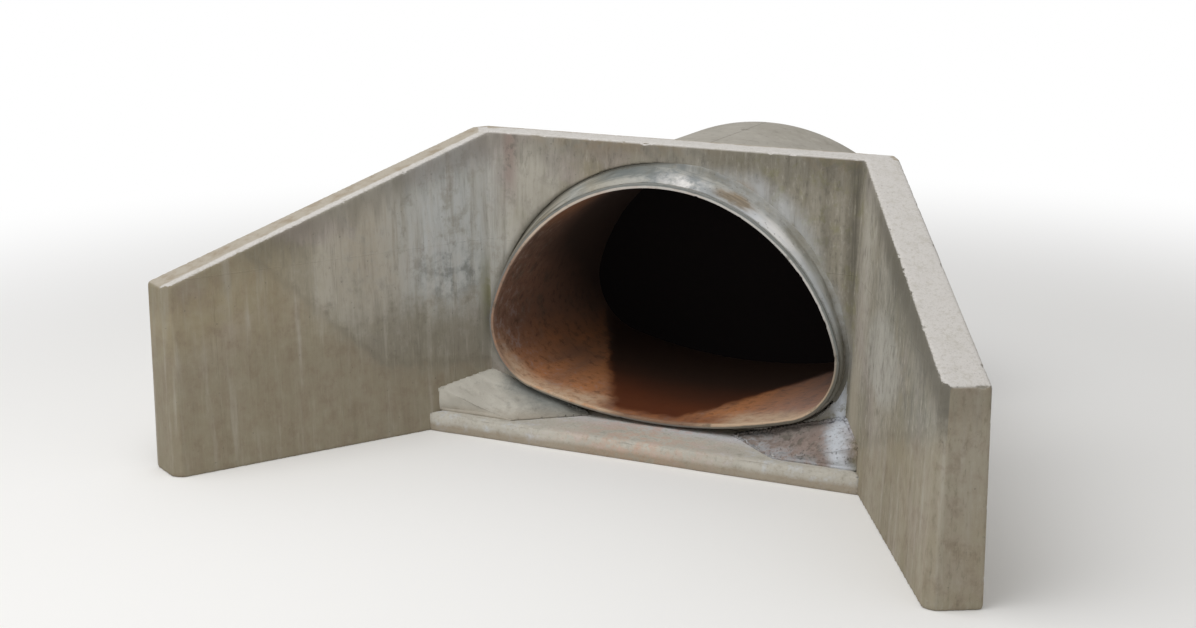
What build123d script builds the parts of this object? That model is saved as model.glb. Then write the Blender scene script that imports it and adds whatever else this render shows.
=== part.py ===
from build123d import *
import os
from math import atan, atan2, cos, degrees, radians, sin, tan

# Culvert headwall with two flared wingwalls, cast round the end section of a concrete arch pipe.
# Millimetres, +Z up. The origin is on the pipe's centre line, at the base, in the plane of the wall's
# front face at its top edge. The stream side is -Y and the pipe runs into the bank along +Y.

# Arch pipe
bore_span = 3505
bore_rise = 2213
widest_level = 750
haunch_radius = 590
pipe_wall = 254
laying_length = 2438
tongue_length = 255
tongue_root = 64
tongue_tip = 46
joint_gap = 12
joint_clearance = 6

# Lifting holes through the pipe's crown, and their plugs
lift_hole_width = 70
lift_hole_taper = 8
lift_hole_place = 0.23
plug_recess = 12

# Headwall
crown_cover = 129
corner_strip = 78.5
wall_thickness = 320
batter = 0.05
shoulder_cover = 20
leg_spacing = 2000
arris_chamfer = 20

# Wingwalls
flare_angle = 60
wing_length = 3400
wing_slope = 0.325
slope_start = 5
corner_return = 120

# Mortar collar and the recess that it fills
collar_crown = 195
collar_side = 74
collar_proud = 215
collar_tip = 10
collar_foot = 620

# Haunch mortar
haunch_mortar_height = 520
haunch_mortar_reach = 540
haunch_mortar_width = 1080
haunch_mortar_fall_in = 0.28
haunch_mortar_fall_out = 0.35

# Toe slab
toe_length = 620
toe_thickness = 185

invert = pipe_wall
crown_top = invert + bore_rise + pipe_wall
wall_height = crown_top + crown_cover
foot_lean = batter * wall_height
half_face = bore_span / 2 + collar_side + corner_strip
tail = shoulder_cover + laying_length
tongue_taper = degrees(atan((tongue_root - tongue_tip) / tongue_length))
flare = radians(flare_angle)


def arch_arcs(span, rise, widest, haunch, bottom=0):
    """Centres and radii of the four tangent arcs of an arch pipe's outline."""
    side = span / 2 - haunch
    low = widest - bottom
    bed_radius = (side**2 + low**2 - haunch**2) / (2 * (low - haunch))
    crown_reach = bottom + rise - haunch
    crown_centre = (crown_reach**2 - side**2 - widest**2) / (2 * (crown_reach - widest))
    crown_radius = bottom + rise - crown_centre
    return side, widest, haunch, crown_centre, crown_radius, bottom + bed_radius, bed_radius


def arch_outline(arcs, growth=0):
    """Draws the outline, grown outwards by one even thickness, in a sketch whose Y is height."""
    side, widest, haunch, crown_centre, crown_radius, bed_centre, bed_radius = arcs
    crown_turn = degrees(atan2(widest - crown_centre, side))
    bed_turn = degrees(atan2(widest - bed_centre, side))
    with BuildLine() as outline:
        CenterArc((0, crown_centre), crown_radius + growth, crown_turn, 180 - 2 * crown_turn)
        CenterArc((side, widest), haunch + growth, bed_turn, crown_turn - bed_turn)
        CenterArc((-side, widest), haunch + growth, 180 - crown_turn, crown_turn - bed_turn)
        CenterArc((0, bed_centre), bed_radius + growth, 180 - bed_turn, 180 + 2 * bed_turn)
    make_face(outline.edges())


def upright(y):
    """A plane across the pipe at y, with its own X along X and its own Y upwards from the invert."""
    return Plane(origin=(0, y, invert), x_dir=(1, 0, 0), z_dir=(0, -1, 0))


def tongue_wall(y):
    """The tongue's thickness at y, on the taper from its root at the shoulder to its tip."""
    return tongue_root + (tongue_tip - tongue_root) * (shoulder_cover - y) / tongue_length


def arris(point, one, other):
    """The chamfer's plane along the arris through a point, between two faces with these normals."""
    slant = one.normalized() + other.normalized()
    depth = arris_chamfer * one.normalized().cross(other.normalized()).length / slant.length
    return Plane(origin=point - slant.normalized() * depth, z_dir=slant)


def battered_run(turn, near, far):
    """One straight run of wall on the right, turned from the headwall, from near to far along it."""
    across = Plane(
        origin=(half_face + near * cos(turn), -near * sin(turn), 0),
        x_dir=(sin(turn), cos(turn), 0),
        z_dir=(cos(turn), -sin(turn), 0),
    )
    with BuildSketch(across) as section:
        with BuildLine() as outline:
            Polyline(
                (-foot_lean, 0),
                (0, wall_height),
                (wall_thickness, wall_height),
                (wall_thickness, 0),
                close=True,
            )
        make_face(outline.edges())
    extrude(section.sketch, amount=far - near)


def floor_block(low, high, *corners):
    """A block between two levels, through its corners in plan."""
    with BuildSketch(Plane.XY.offset(low)) as plan:
        with BuildLine() as outline:
            Polyline(*corners, close=True)
        make_face(outline.edges())
    extrude(plan.sketch, amount=high - low)


def lift_hole_cone(place, mode=Mode.ADD):
    """The taper of a lifting hole, wider towards the pipe's outside."""
    with Locations((0, shoulder_cover + laying_length * place, crown_top - pipe_wall / 2)):
        Cone(
            (lift_hole_width - lift_hole_taper) / 2,
            (lift_hole_width + lift_hole_taper) / 2,
            pipe_wall * 1.2,
            mode=mode,
        )


def lift_hole_plug(place):
    """The plug in a lifting hole, from the pipe's inside to a little below its outside."""
    with BuildPart() as plug:
        lift_hole_cone(place)
        split(bisect_by=Plane.XY.offset(crown_top - plug_recess), keep=Keep.BOTTOM)
        with BuildSketch(upright(tail)):
            arch_outline(bore)
        extrude(amount=laying_length, mode=Mode.SUBTRACT)
    return plug


bore = arch_arcs(bore_span, bore_rise, widest_level, haunch_radius)
collar_edge = arch_arcs(
    bore_span + 2 * collar_side,
    bore_rise + collar_crown + collar_side,
    widest_level,
    haunch_radius + collar_side,
    -collar_side,
)

# Directions and corners of the walls on the right, where the headwall's run meets the wing's
up = Vector(0, 0, 1)
back = Vector(0, 1, 0)
along = Vector(cos(flare), -sin(flare), 0)
behind = Vector(sin(flare), cos(flare), 0)
head_front = Vector(0, -1, batter)
wing_front = Vector(-sin(flare), -cos(flare), batter)
wing_fall = Vector(wing_slope * cos(flare), -wing_slope * sin(flare), 1)
corner = Vector(half_face, 0, wall_height)
corner_back = Vector(half_face + wall_thickness * tan(flare / 2), wall_thickness, wall_height)
slope_front = corner + along * slope_start
slope_back = slope_front + behind * wall_thickness
end_front = slope_front + (along - up * wing_slope) * (wing_length - slope_start)
end_back = end_front + behind * wall_thickness
mitre = Plane(origin=corner, z_dir=along + Vector(1, 0, 0))
face_plane = Plane(origin=(0, -foot_lean, 0), x_dir=(1, 0, 0), z_dir=head_front)

# Cuts that give the headwall and the wing their tops and chamfered arrises
head_cuts = [arris(corner, head_front, up), arris(corner_back, back, up)]
slope_cuts = [
    Plane(origin=slope_front, z_dir=wing_fall),
    arris(slope_front, wing_front, wing_fall),
    arris(slope_back, behind, wing_fall),
]
return_cuts = slope_cuts + [arris(corner, wing_front, up), arris(corner_back, behind, up)]
end_cuts = [
    arris(end_front, wing_front, along),
    arris(end_back, behind, along),
    arris(end_front, wing_fall, along),
]

# The pipe's end section has a tapered tongue in front, a groove behind and two lifting holes.
with BuildPart() as pipe_end_section:
    with BuildSketch(upright(tail)):
        arch_outline(bore, pipe_wall)
    extrude(amount=laying_length)
    with BuildSketch(upright(shoulder_cover)):
        arch_outline(bore, tongue_root)
    extrude(amount=tongue_length, taper=tongue_taper)
    with BuildSketch(upright(tail)):
        arch_outline(bore, tongue_root + joint_clearance)
    extrude(amount=tongue_length + joint_gap, taper=tongue_taper, mode=Mode.SUBTRACT)
    with BuildSketch(upright(tail)):
        arch_outline(bore)
    extrude(amount=laying_length + tongue_length, mode=Mode.SUBTRACT)
    lift_hole_cone(lift_hole_place, Mode.SUBTRACT)
    lift_hole_cone(1 - lift_hole_place, Mode.SUBTRACT)

front_plug = lift_hole_plug(lift_hole_place)
back_plug = lift_hole_plug(1 - lift_hole_place)

# The headwall with its short returns into the wings, cut round the pipe's outside behind the pipe's
# shoulder and round the collar's recess in front of it. It stands on a leg each side of the pipe.
with BuildPart() as right_return:
    battered_run(flare, -wall_thickness, corner_return)
    split(bisect_by=mitre, keep=Keep.TOP)
    for cut in return_cuts:
        split(bisect_by=cut, keep=Keep.BOTTOM)

with BuildPart() as headwall:
    battered_run(0, -half_face, wall_thickness)
    split(bisect_by=mitre, keep=Keep.BOTTOM)
    for cut in head_cuts:
        split(bisect_by=cut, keep=Keep.BOTTOM)
    add(right_return.part)
    mirror(about=Plane.YZ)
    with BuildSketch(upright(wall_thickness)):
        arch_outline(bore, pipe_wall)
    extrude(amount=wall_thickness - shoulder_cover, mode=Mode.SUBTRACT)
    with BuildSketch(upright(shoulder_cover)):
        arch_outline(collar_edge)
    extrude(amount=shoulder_cover + foot_lean, mode=Mode.SUBTRACT)
    with BuildSketch(upright(wall_thickness)):
        with Locations((0, -invert)):
            Rectangle(leg_spacing, invert, align=(Align.CENTER, Align.MIN))
    extrude(amount=wall_thickness + foot_lean, mode=Mode.SUBTRACT)

with BuildPart() as right_wingwall:
    battered_run(flare, corner_return, wing_length)
    for cut in slope_cuts + end_cuts:
        split(bisect_by=cut, keep=Keep.BOTTOM)

with BuildPart() as left_wingwall:
    mirror(right_wingwall.part, about=Plane.YZ)

# The toe slab lies between the wings and runs back under the pipe's tongue as far as the shoulder.
toe_front = foot_lean + toe_length
with BuildPart() as toe_slab:
    floor_block(
        0,
        toe_thickness,
        (0, shoulder_cover),
        (leg_spacing / 2, shoulder_cover),
        (leg_spacing / 2, 0),
        (half_face, 0),
        (half_face + toe_front / tan(flare), -toe_front),
        (0, -toe_front),
    )
    add(headwall.part, mode=Mode.SUBTRACT)
    add(right_wingwall.part, mode=Mode.SUBTRACT)
    mirror(about=Plane.YZ)

# The mortar collar fills its recess flush with the wall and slopes out from it to the tongue's lip.
with BuildPart() as mortar_collar:
    with BuildSketch(upright(shoulder_cover)):
        arch_outline(collar_edge)
    extrude(amount=shoulder_cover + foot_lean)
    split(bisect_by=face_plane, keep=Keep.BOTTOM)
    with BuildSketch(upright(0)):
        arch_outline(collar_edge)
    with BuildSketch(upright(-collar_proud)):
        arch_outline(bore, tongue_wall(-collar_proud) + collar_tip)
    loft(ruled=True)
    split(bisect_by=Plane.XY.offset(collar_foot), keep=Keep.TOP)
    with BuildSketch(upright(shoulder_cover)):
        arch_outline(bore, tongue_root)
    extrude(amount=tongue_length, taper=tongue_taper, mode=Mode.SUBTRACT)

# The haunch mortar fills the corners at stream level, and clears the underside of the tongue.
mortar_lean = batter * (wall_height - haunch_mortar_height)
mortar_corner = half_face - mortar_lean * tan(flare / 2)
mortar_front = mortar_lean + haunch_mortar_reach
with BuildPart() as right_haunch_mortar:
    floor_block(
        toe_thickness,
        haunch_mortar_height + haunch_mortar_reach,
        (mortar_corner - haunch_mortar_width, 0),
        (half_face, 0),
        (half_face + mortar_front / tan(flare), -mortar_front),
        (mortar_corner - haunch_mortar_width, -mortar_front),
    )
    split(
        bisect_by=Plane(
            origin=(mortar_corner, -mortar_lean, haunch_mortar_height),
            z_dir=(-haunch_mortar_fall_in, -haunch_mortar_fall_out, 1),
        ),
        keep=Keep.BOTTOM,
    )
    split(bisect_by=face_plane, keep=Keep.TOP)
    add(headwall.part, mode=Mode.SUBTRACT)
    add(right_wingwall.part, mode=Mode.SUBTRACT)

with BuildPart() as left_haunch_mortar:
    mirror(right_haunch_mortar.part, about=Plane.YZ)

pieces = {
    "headwall": headwall,
    "left_wingwall": left_wingwall,
    "right_wingwall": right_wingwall,
    "toe_slab": toe_slab,
    "mortar_collar": mortar_collar,
    "left_haunch_mortar": left_haunch_mortar,
    "right_haunch_mortar": right_haunch_mortar,
    "pipe_end_section": pipe_end_section,
    "front_lift_hole_plug": front_plug,
    "back_lift_hole_plug": back_plug,
}

os.makedirs("parts", exist_ok=True)
for name, piece in pieces.items():
    piece.part.label = name
    export_step(piece.part, f"parts/{name}.step")
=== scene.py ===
"""Culvert headwall: weathered concrete walls, arch pipe and mortar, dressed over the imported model."""

import math
from types import SimpleNamespace

import bmesh
import bpy
import numpy as np
from bpy.props import FloatProperty, FloatVectorProperty, PointerProperty
from mathutils import Matrix, Vector


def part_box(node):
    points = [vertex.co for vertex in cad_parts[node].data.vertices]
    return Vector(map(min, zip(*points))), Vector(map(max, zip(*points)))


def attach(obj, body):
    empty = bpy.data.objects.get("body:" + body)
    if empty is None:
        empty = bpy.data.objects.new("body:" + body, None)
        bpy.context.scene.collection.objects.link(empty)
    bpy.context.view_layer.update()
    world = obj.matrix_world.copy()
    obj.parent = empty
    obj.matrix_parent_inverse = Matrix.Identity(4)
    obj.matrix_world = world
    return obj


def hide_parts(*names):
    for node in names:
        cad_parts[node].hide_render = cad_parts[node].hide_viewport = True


bl_info = {
    "name": "Culvert Headwall",
    "version": (1, 0, 0),
    "blender": (4, 5, 0),
    "location": "View3D > Sidebar > Headwall",
    "description": "Weathered concrete headwall, arch pipe and mortar",
    "category": "Add Mesh",
}

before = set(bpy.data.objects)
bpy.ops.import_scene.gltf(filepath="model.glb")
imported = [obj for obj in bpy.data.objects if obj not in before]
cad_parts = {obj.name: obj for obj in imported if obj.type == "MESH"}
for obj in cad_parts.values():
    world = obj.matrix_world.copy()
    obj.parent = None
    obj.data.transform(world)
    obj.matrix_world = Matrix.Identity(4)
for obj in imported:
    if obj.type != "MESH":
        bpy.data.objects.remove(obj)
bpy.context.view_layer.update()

PHOTO_WIDTH = 1196
WALL_NODES = ("headwall", "left_wingwall", "right_wingwall")

# the most triangles that the walls, each packing and the slab keep
WALL_TRIANGLES = 190000
PACKING_TRIANGLES = 60000
SLAB_TRIANGLES = 90000

# points all the way round the bore and round the collar's edge, and rows from the wall to the lip
BORE_POINTS = 420
COLLAR_POINTS = 900
COLLAR_STEPS = 34

# the collar's first rows: growth outside its edge, and distance in front of the wall's face
COLLAR_GROOVE = (
    (-0.001, -0.06),
    (-0.002, -0.014),
    (-0.008, -0.016),
    (-0.016, -0.011),
    (-0.02, -0.003),
    (-0.026, 0.0),
)
COLLAR_FEATHER = (
    (0.03, -0.008),
    (0.026, -0.002),
    (0.02, 0.0008),
    (0.01, 0.0014),
    (-0.005, 0.002),
    (-0.026, 0.003),
)

# the least height of a worn point above the floor
FLOOR_CLEARANCE = 0.001


# Sizes and colours


def length(name, description, default):
    return FloatProperty(
        name=name, description=description, default=default, min=0.0, unit="LENGTH", precision=4
    )


def number(name, description, default):
    return FloatProperty(name=name, description=description, default=default, min=0.0)


def angle(name, description, degrees):
    return FloatProperty(name=name, description=description, default=math.radians(degrees), subtype="ANGLE")


def position(name, description, default):
    return FloatVectorProperty(name=name, description=description, default=default, subtype="TRANSLATION")


def colour(name, description, red, green, blue):
    """A colour written as it shows on a screen, from 0 to 255."""
    return FloatVectorProperty(
        name=name,
        description=description,
        subtype="COLOR_GAMMA",
        size=3,
        min=0.0,
        max=1.0,
        default=(red / 255, green / 255, blue / 255),
    )


class HeadwallSizes(bpy.types.PropertyGroup):
    span: length("Span", "Bore's width inside", 3.505)
    rise: length("Rise", "Bore's height inside", 2.213)
    widest: length("Widest level", "Height of the widest level above the invert", 0.75)
    haunch: length("Haunch radius", "Radius of the bore's lower corners", 0.59)
    pipe_wall: length("Pipe wall", "Thickness of the pipe's wall", 0.254)
    laying_length: length("Laying length", "Length of the pipe section from shoulder to tail", 2.438)
    tongue: length("Tongue", "Length of the tongue", 0.255)
    tongue_root: length("Tongue root", "Tongue's thickness at the shoulder", 0.064)
    tongue_tip: length("Tongue tip", "Tongue's thickness at its end", 0.046)
    joint_gap: length("Joint gap", "Gap between a tongue's end and the groove's floor", 0.012)
    joint_clearance: length("Joint clearance", "Gap round a tongue in the groove", 0.006)
    shoulder: length("Shoulder", "Pipe's shoulder behind the wall's face line", 0.02)
    lift_hole: length("Lifting hole", "Width of the lifting holes at the pipe's outside", 0.076)
    lift_place: number("Lifting hole place", "Each hole's share of the laying length from its end", 0.23)
    plug_recess: length("Plug recess", "Depth of the plugs below the pipe's outside", 0.012)
    height: length("Wall height", "Height of the headwall", 2.85)
    thickness: length("Wall thickness", "Thickness of the walls at the top", 0.32)
    face_width: length("Face width", "Width of the headwall's face at the top", 3.81)
    batter: number("Batter", "Lean of the faces for each unit of height", 0.05)
    flare: angle("Flare", "Turn of the wings from the headwall", 60)
    wing_length: length("Wing length", "Length of each wing from the corner", 3.4)
    wing_slope: number("Wing slope", "Fall of the wings' tops for each unit of length", 0.325)
    corner_return: length("Corner return", "Headwall's return into each wing", 0.12)
    collar_crown: length("Collar at crown", "Height of the mortar band over the crown", 0.195)
    collar_side: length("Collar at sides", "Width of the mortar band at the sides", 0.074)
    collar_proud: length("Collar proud", "How far the mortar stands out along the tongue", 0.213)
    collar_foot: length("Collar foot", "Level at which the mortar band starts", 0.62)
    voxel: length("Cast detail", "Size of the cast walls' finest detail", 0.016)
    packing_voxel: length("Packing detail", "Size of the haunch mortar's finest detail", 0.012)
    slab_voxel: length("Slab detail", "Size of the slab's finest detail", 0.016)
    plug_voxel: length("Plug detail", "Size of the plugs' finest detail", 0.0035)
    chip: length("Arris chips", "Depth of the chips along the walls' edges", 0.009)


class HeadwallColours(bpy.types.PropertyGroup):
    face_pale: colour("Face, pale", "Paler streaks of the walls' faces", 178, 173, 162)
    face_dark: colour("Face, dark", "Darker streaks of the walls' faces", 130, 124, 109)
    face_warm: colour("Face, warm", "Olive-brown clouds on the walls' faces", 150, 139, 114)
    face_blue: colour("Face, blue", "Blue-grey clouds on the walls' faces", 188, 191, 190)
    face_mauve: colour("Face, mauve", "Faint mauve clouds on the walls' faces", 164, 152, 151)
    # used for real dirt and also for painted shade: the groove's dark line, shade at and under the lip, and
    # the crown's shadow on the mortar
    grime_and_shade: colour("Grime", "Dark drips and corners", 86, 82, 71)
    algae: colour("Algae", "Olive film low on the walls", 126, 123, 86)
    top_pale: colour("Top", "Sun-bleached top surfaces", 203, 199, 194)
    top_soiled: colour("Top, soiled", "Soil dried on the tops' back parts", 168, 159, 143)
    lime: colour("Lime", "White lime bloom", 203, 208, 215)
    laitance: colour("Laitance", "Palest skin on the trowelled mortar", 228, 225, 222)
    earth: colour("Earth", "Earth dried on the concrete", 138, 120, 95)
    mortar: colour("Mortar", "Trowelled mortar", 166, 165, 158)
    # used for the mortar's real dark marks and also for painted shade: the crown's shadow, the lip's outer
    # edge and under the lip on the packing
    mortar_dark_and_shade: colour("Mortar, dark", "Mortar's dark drag marks", 106, 111, 109)
    packing: colour("Packing", "Rough mortar under the pipe's haunches", 140, 124, 116)
    ledge: colour("Ledge", "Pale slab at the foot of the wall", 196, 192, 181)
    pipe_outside: colour("Pipe outside", "Cast outside of the pipe", 163, 158, 148)
    lip: colour("Lip", "Pipe's pale front edge", 204, 178, 150)
    lip_grey: colour("Lip, grey", "Lip where mortar has run over it", 196, 193, 188)
    rust: colour("Rust", "Orange film low in the bore", 204, 134, 80)
    rust_brown: colour("Rust, brown", "Brown film on the bore's sides", 130, 98, 80)
    # also painted shade, over the wedge along the invert that widens further in
    rust_wet_and_shade: colour("Rust, wet", "Wet film along the invert", 92, 46, 24)
    # used as painted shade deep in the bore, and also for damp spots and the darker upper sides
    bore_damp_and_shade: colour("Bore, dark", "Damp film deep in the bore", 56, 42, 34)


class HeadwallStage(bpy.types.PropertyGroup):
    focal_pixels: number("Focal length", "Focal length in the photograph's pixels", 1980.0)
    azimuth: angle("Azimuth", "Camera's turn to the left of +Y", 26.4639)
    pitch: angle("Pitch", "Camera's dip below level", 12.743)
    roll: angle("Roll", "Camera's roll", -0.2056)
    place: position("Camera", "Camera's place", (7.4899, -16.504, 5.8117))
    rise_pixels: number("Lens rise", "How far the lens looks down, in the photograph's pixels", 50.0)
    floor_radius: length("Floor radius", "Radius of the floor", 140.0)
    fade_near: length("Fade start", "Distance at which the floor starts to go to white", 6.0)
    fade_far: length("Fade end", "Distance at which the floor is white", 15.0)
    # the card is painted shade: a black sheet that stands for the bore's dark depth
    card_depth: length("Card depth", "How far the dark backdrop stands in front of the pipe's tail", 0.36)
    sky: number("Sky light", "Strength of the even light", 0.55)
    lamp: FloatProperty(
        name="Lamp", description="Power of the soft lamp overhead", default=1250.0, min=0.0, subtype="POWER"
    )
    lamp_size: length("Lamp size", "Width of the soft lamp", 14.0)
    lamp_place: position("Lamp place", "Place of the soft lamp", (-3.0, -7.0, 14.0))
    floor: colour("Floor", "Pale plain floor", 243, 242, 240)


# Points, noise and meshes


def lumps(points, size, seed):
    """Smooth seeded noise from -1 to 1, in lumps about size metres across."""
    table = np.random.default_rng(seed).uniform(-1.0, 1.0, (64, 64, 64))
    spot = np.asarray(points, float) / size + 19.7 * seed
    cell = np.floor(spot).astype(int)
    part = spot - cell
    part = part * part * (3 - 2 * part)
    total = np.zeros(len(spot))
    for dx in (0, 1):
        for dy in (0, 1):
            for dz in (0, 1):
                weight = np.ones(len(spot))
                for axis, step in enumerate((dx, dy, dz)):
                    weight *= part[:, axis] if step else 1 - part[:, axis]
                corner = (cell + (dx, dy, dz)) % 64
                total += weight * table[corner[:, 0], corner[:, 1], corner[:, 2]]
    return total


def smooth(low, high, value):
    share = np.clip((np.asarray(value, float) - low) / (high - low), 0.0, 1.0)
    return share * share * (3 - 2 * share)


def vertex_points(mesh):
    found = np.empty(len(mesh.vertices) * 3, np.float32)
    mesh.vertices.foreach_get("co", found)
    return found.reshape(-1, 3).astype(float)


def vertex_normals(mesh):
    found = np.empty(len(mesh.vertices) * 3, np.float32)
    mesh.vertex_normals.foreach_get("vector", found)
    return found.reshape(-1, 3).astype(float)


def move_points(mesh, points):
    mesh.vertices.foreach_set("co", np.asarray(points, np.float32).ravel())
    mesh.update()


def sink_points(mesh, points, normals, depth):
    """Moves each point in from the surface by its depth."""
    move_points(mesh, points - normals * depth[:, None])


def raise_points(mesh, points, normals, lift):
    """Moves each point out of the surface by its lift, and none into the floor."""
    moved = points + normals * lift[:, None]
    moved[:, 2] = np.maximum(moved[:, 2], FLOOR_CLEARANCE)
    move_points(mesh, moved)


def note(mesh, name, values):
    """Keeps a number for each point, for the finishes to read."""
    layer = mesh.attributes.get(name) or mesh.attributes.new(name, "FLOAT", "POINT")
    layer.data.foreach_set("value", np.asarray(values, np.float32))


def distance_to_lines(points, lines):
    best = np.full(len(points), 1e9)
    for start, end in lines:
        start, end = np.array(start, float), np.array(end, float)
        run = end - start
        share = np.clip((points - start) @ run / (run @ run), 0.0, 1.0)
        best = np.minimum(best, np.linalg.norm(points - start - share[:, None] * run, axis=1))
    return best


def new_piece(name, mesh, slot, *nodes):
    """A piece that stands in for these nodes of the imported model."""
    piece = bpy.data.objects.new(name, mesh)
    bpy.context.scene.collection.objects.link(piece)
    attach(piece, "root")
    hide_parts(*nodes)
    return piece


def shade_smooth(mesh):
    mesh.polygons.foreach_set("use_smooth", np.ones(len(mesh.polygons), bool))


def face_outwards(mesh):
    turned = bmesh.new()
    turned.from_mesh(mesh)
    bmesh.ops.recalc_face_normals(turned, faces=turned.faces)
    turned.to_mesh(mesh)
    turned.free()
    shade_smooth(mesh)


def through_modifier(mesh, kind, **values):
    """The mesh as one modifier leaves it."""
    bench = bpy.data.objects.new("bench", mesh)
    bpy.context.scene.collection.objects.link(bench)
    modifier = bench.modifiers.new("Step", kind)
    for key, value in values.items():
        setattr(modifier, key, value)
    graph = bpy.context.evaluated_depsgraph_get()
    made = bpy.data.meshes.new_from_object(bench.evaluated_get(graph))
    bpy.data.objects.remove(bench)
    return made


def recast(mesh, voxel):
    """The mesh cut afresh in even small faces, with its edges a little worn."""
    cut = through_modifier(mesh, "REMESH", mode="VOXEL", voxel_size=voxel, adaptivity=0.0)
    return through_modifier(cut, "SMOOTH", factor=0.5, iterations=3)


def thinned(mesh, most):
    """The mesh with at most so many triangles."""
    mesh.calc_loop_triangles()
    count = len(mesh.loop_triangles)
    if count <= most:
        return mesh
    return through_modifier(mesh, "DECIMATE", ratio=most / count, use_collapse_triangulate=True)


def joined_solids(*nodes):
    """The solids of these nodes in one editable mesh, joined where they meet."""
    joined = bmesh.new()
    for node in nodes:
        joined.from_mesh(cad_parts[node].data)
    bmesh.ops.remove_doubles(joined, verts=joined.verts, dist=1e-5)
    return joined


def kept_mesh(name, joined):
    made = bpy.data.meshes.new(name)
    joined.to_mesh(made)
    joined.free()
    return made


def dress(mesh, finish):
    shade_smooth(mesh)
    mesh.materials.clear()
    mesh.materials.append(finish)


# The arch pipe's outline


def arch_arcs(span, rise, widest, haunch, bottom=0.0):
    """Centres, radii and turns of the four tangent arcs of an arch pipe's outline."""
    side = span / 2 - haunch
    low = widest - bottom
    bed_radius = (side**2 + low**2 - haunch**2) / (2 * (low - haunch))
    reach = bottom + rise - haunch
    crown_centre = (reach**2 - side**2 - widest**2) / (2 * (reach - widest))
    return {
        "side": side,
        "widest": widest,
        "haunch": haunch,
        "crown_centre": crown_centre,
        "crown_radius": bottom + rise - crown_centre,
        "bed_centre": bottom + bed_radius,
        "bed_radius": bed_radius,
        "crown_turn": math.atan2(widest - crown_centre, side),
        "bed_turn": math.atan2(widest - bottom - bed_radius, side),
    }


def arch_points(arcs, turns, growth):
    """X and height above the invert where the outline faces each turn, 90 degrees being straight up."""
    turns = np.asarray(turns, float)
    across, up = np.cos(turns), np.sin(turns)
    upright = np.arctan2(up, np.abs(across))
    crown = upright >= arcs["crown_turn"]
    bed = upright <= arcs["bed_turn"]
    centre_x = np.where(crown | bed, 0.0, np.sign(across) * arcs["side"])
    centre_z = np.where(crown, arcs["crown_centre"], np.where(bed, arcs["bed_centre"], arcs["widest"]))
    radius = np.where(crown, arcs["crown_radius"], np.where(bed, arcs["bed_radius"], arcs["haunch"])) + growth
    return centre_x + radius * across, centre_z + radius * up


def arch_gap(arcs, x, z):
    """How far a point of the cross-section lies outside the outline."""
    x, z = np.abs(np.asarray(x, float)), np.asarray(z, float)
    crown = np.arctan2(z - arcs["crown_centre"], x) >= arcs["crown_turn"]
    bed = np.arctan2(z - arcs["bed_centre"], x) <= arcs["bed_turn"]
    by_crown = np.hypot(x, z - arcs["crown_centre"]) - arcs["crown_radius"]
    by_bed = np.hypot(x, z - arcs["bed_centre"]) - arcs["bed_radius"]
    by_haunch = np.hypot(x - arcs["side"], z - arcs["widest"]) - arcs["haunch"]
    return np.where(crown, by_crown, np.where(bed, by_bed, by_haunch))


def even_turns(arcs, count):
    """Turns round the whole outline, evenly spaced along it, from the middle of the invert."""
    fine = np.linspace(-math.pi / 2, 1.5 * math.pi, 4001)
    x, z = arch_points(arcs, fine, 0.0)
    along = np.concatenate([[0.0], np.cumsum(np.hypot(np.diff(x), np.diff(z)))])
    return np.interp(np.linspace(0.0, along[-1], count, endpoint=False), along, fine)


def bore_arcs(sizes):
    return arch_arcs(sizes.span, sizes.rise, sizes.widest, sizes.haunch)


def collar_arcs(sizes):
    side = sizes.collar_side
    span, rise = sizes.span + 2 * side, sizes.rise + sizes.collar_crown + side
    return arch_arcs(span, rise, sizes.widest, sizes.haunch + side, -side)


def sheet_mesh(name, rows, closed_round, closed_across):
    """A mesh from rows of points, each row one trip along the piece."""
    grid = np.asarray(rows, float)
    across, along = grid.shape[:2]
    faces = []
    for row in range(across if closed_across else across - 1):
        here, beside = row * along, (row + 1) % across * along
        for step in range(along if closed_round else along - 1):
            after = (step + 1) % along
            faces.append((here + step, here + after, beside + after, beside + step))
    mesh = bpy.data.meshes.new(name)
    mesh.from_pydata(grid.reshape(-1, 3).tolist(), [], faces)
    mesh.update()
    shade_smooth(mesh)
    return mesh


def rounded_profile(corners, radius, spacing, extra=()):
    """A closed profile through the corners, each rounded, with points spaced along its straights.

    The extra places are distances along the pipe at which its outermost straight gets points as well."""
    made = []
    count = len(corners)
    outermost = max(corner[1] for corner in corners)
    for index, corner in enumerate(corners):
        corner = np.array(corner, float)
        before = np.array(corners[index - 1], float) - corner
        after = np.array(corners[(index + 1) % count], float) - corner
        long_before, long_after = np.linalg.norm(before), np.linalg.norm(after)
        cut = min(radius, 0.4 * long_before, 0.4 * long_after)
        start, end = corner + before / long_before * cut, corner + after / long_after * cut
        for share in (0.0, 0.25, 0.5, 0.75, 1.0):
            made.append((1 - share) ** 2 * start + 2 * share * (1 - share) * corner + share**2 * end)
        following = np.array(corners[(index + 1) % count], float)
        length_left = np.linalg.norm(following - end) - min(radius, 0.4 * long_after)
        steps = max(1, int(round(length_left / spacing)))
        places = [length_left * step / steps for step in range(1, steps)]
        if corner[1] == outermost and following[1] == outermost:
            places = sorted(places + [abs(place - end[0]) for place in extra])
        made.extend(end + after / long_after * place for place in places)
    return np.array(made)


# Procedural finishes


def linear(tone):
    """A screen colour as the light that the shaders work in."""
    return tuple(c / 12.92 if c <= 0.04045 else ((c + 0.055) / 1.055) ** 2.4 for c in tone) + (1.0,)


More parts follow.
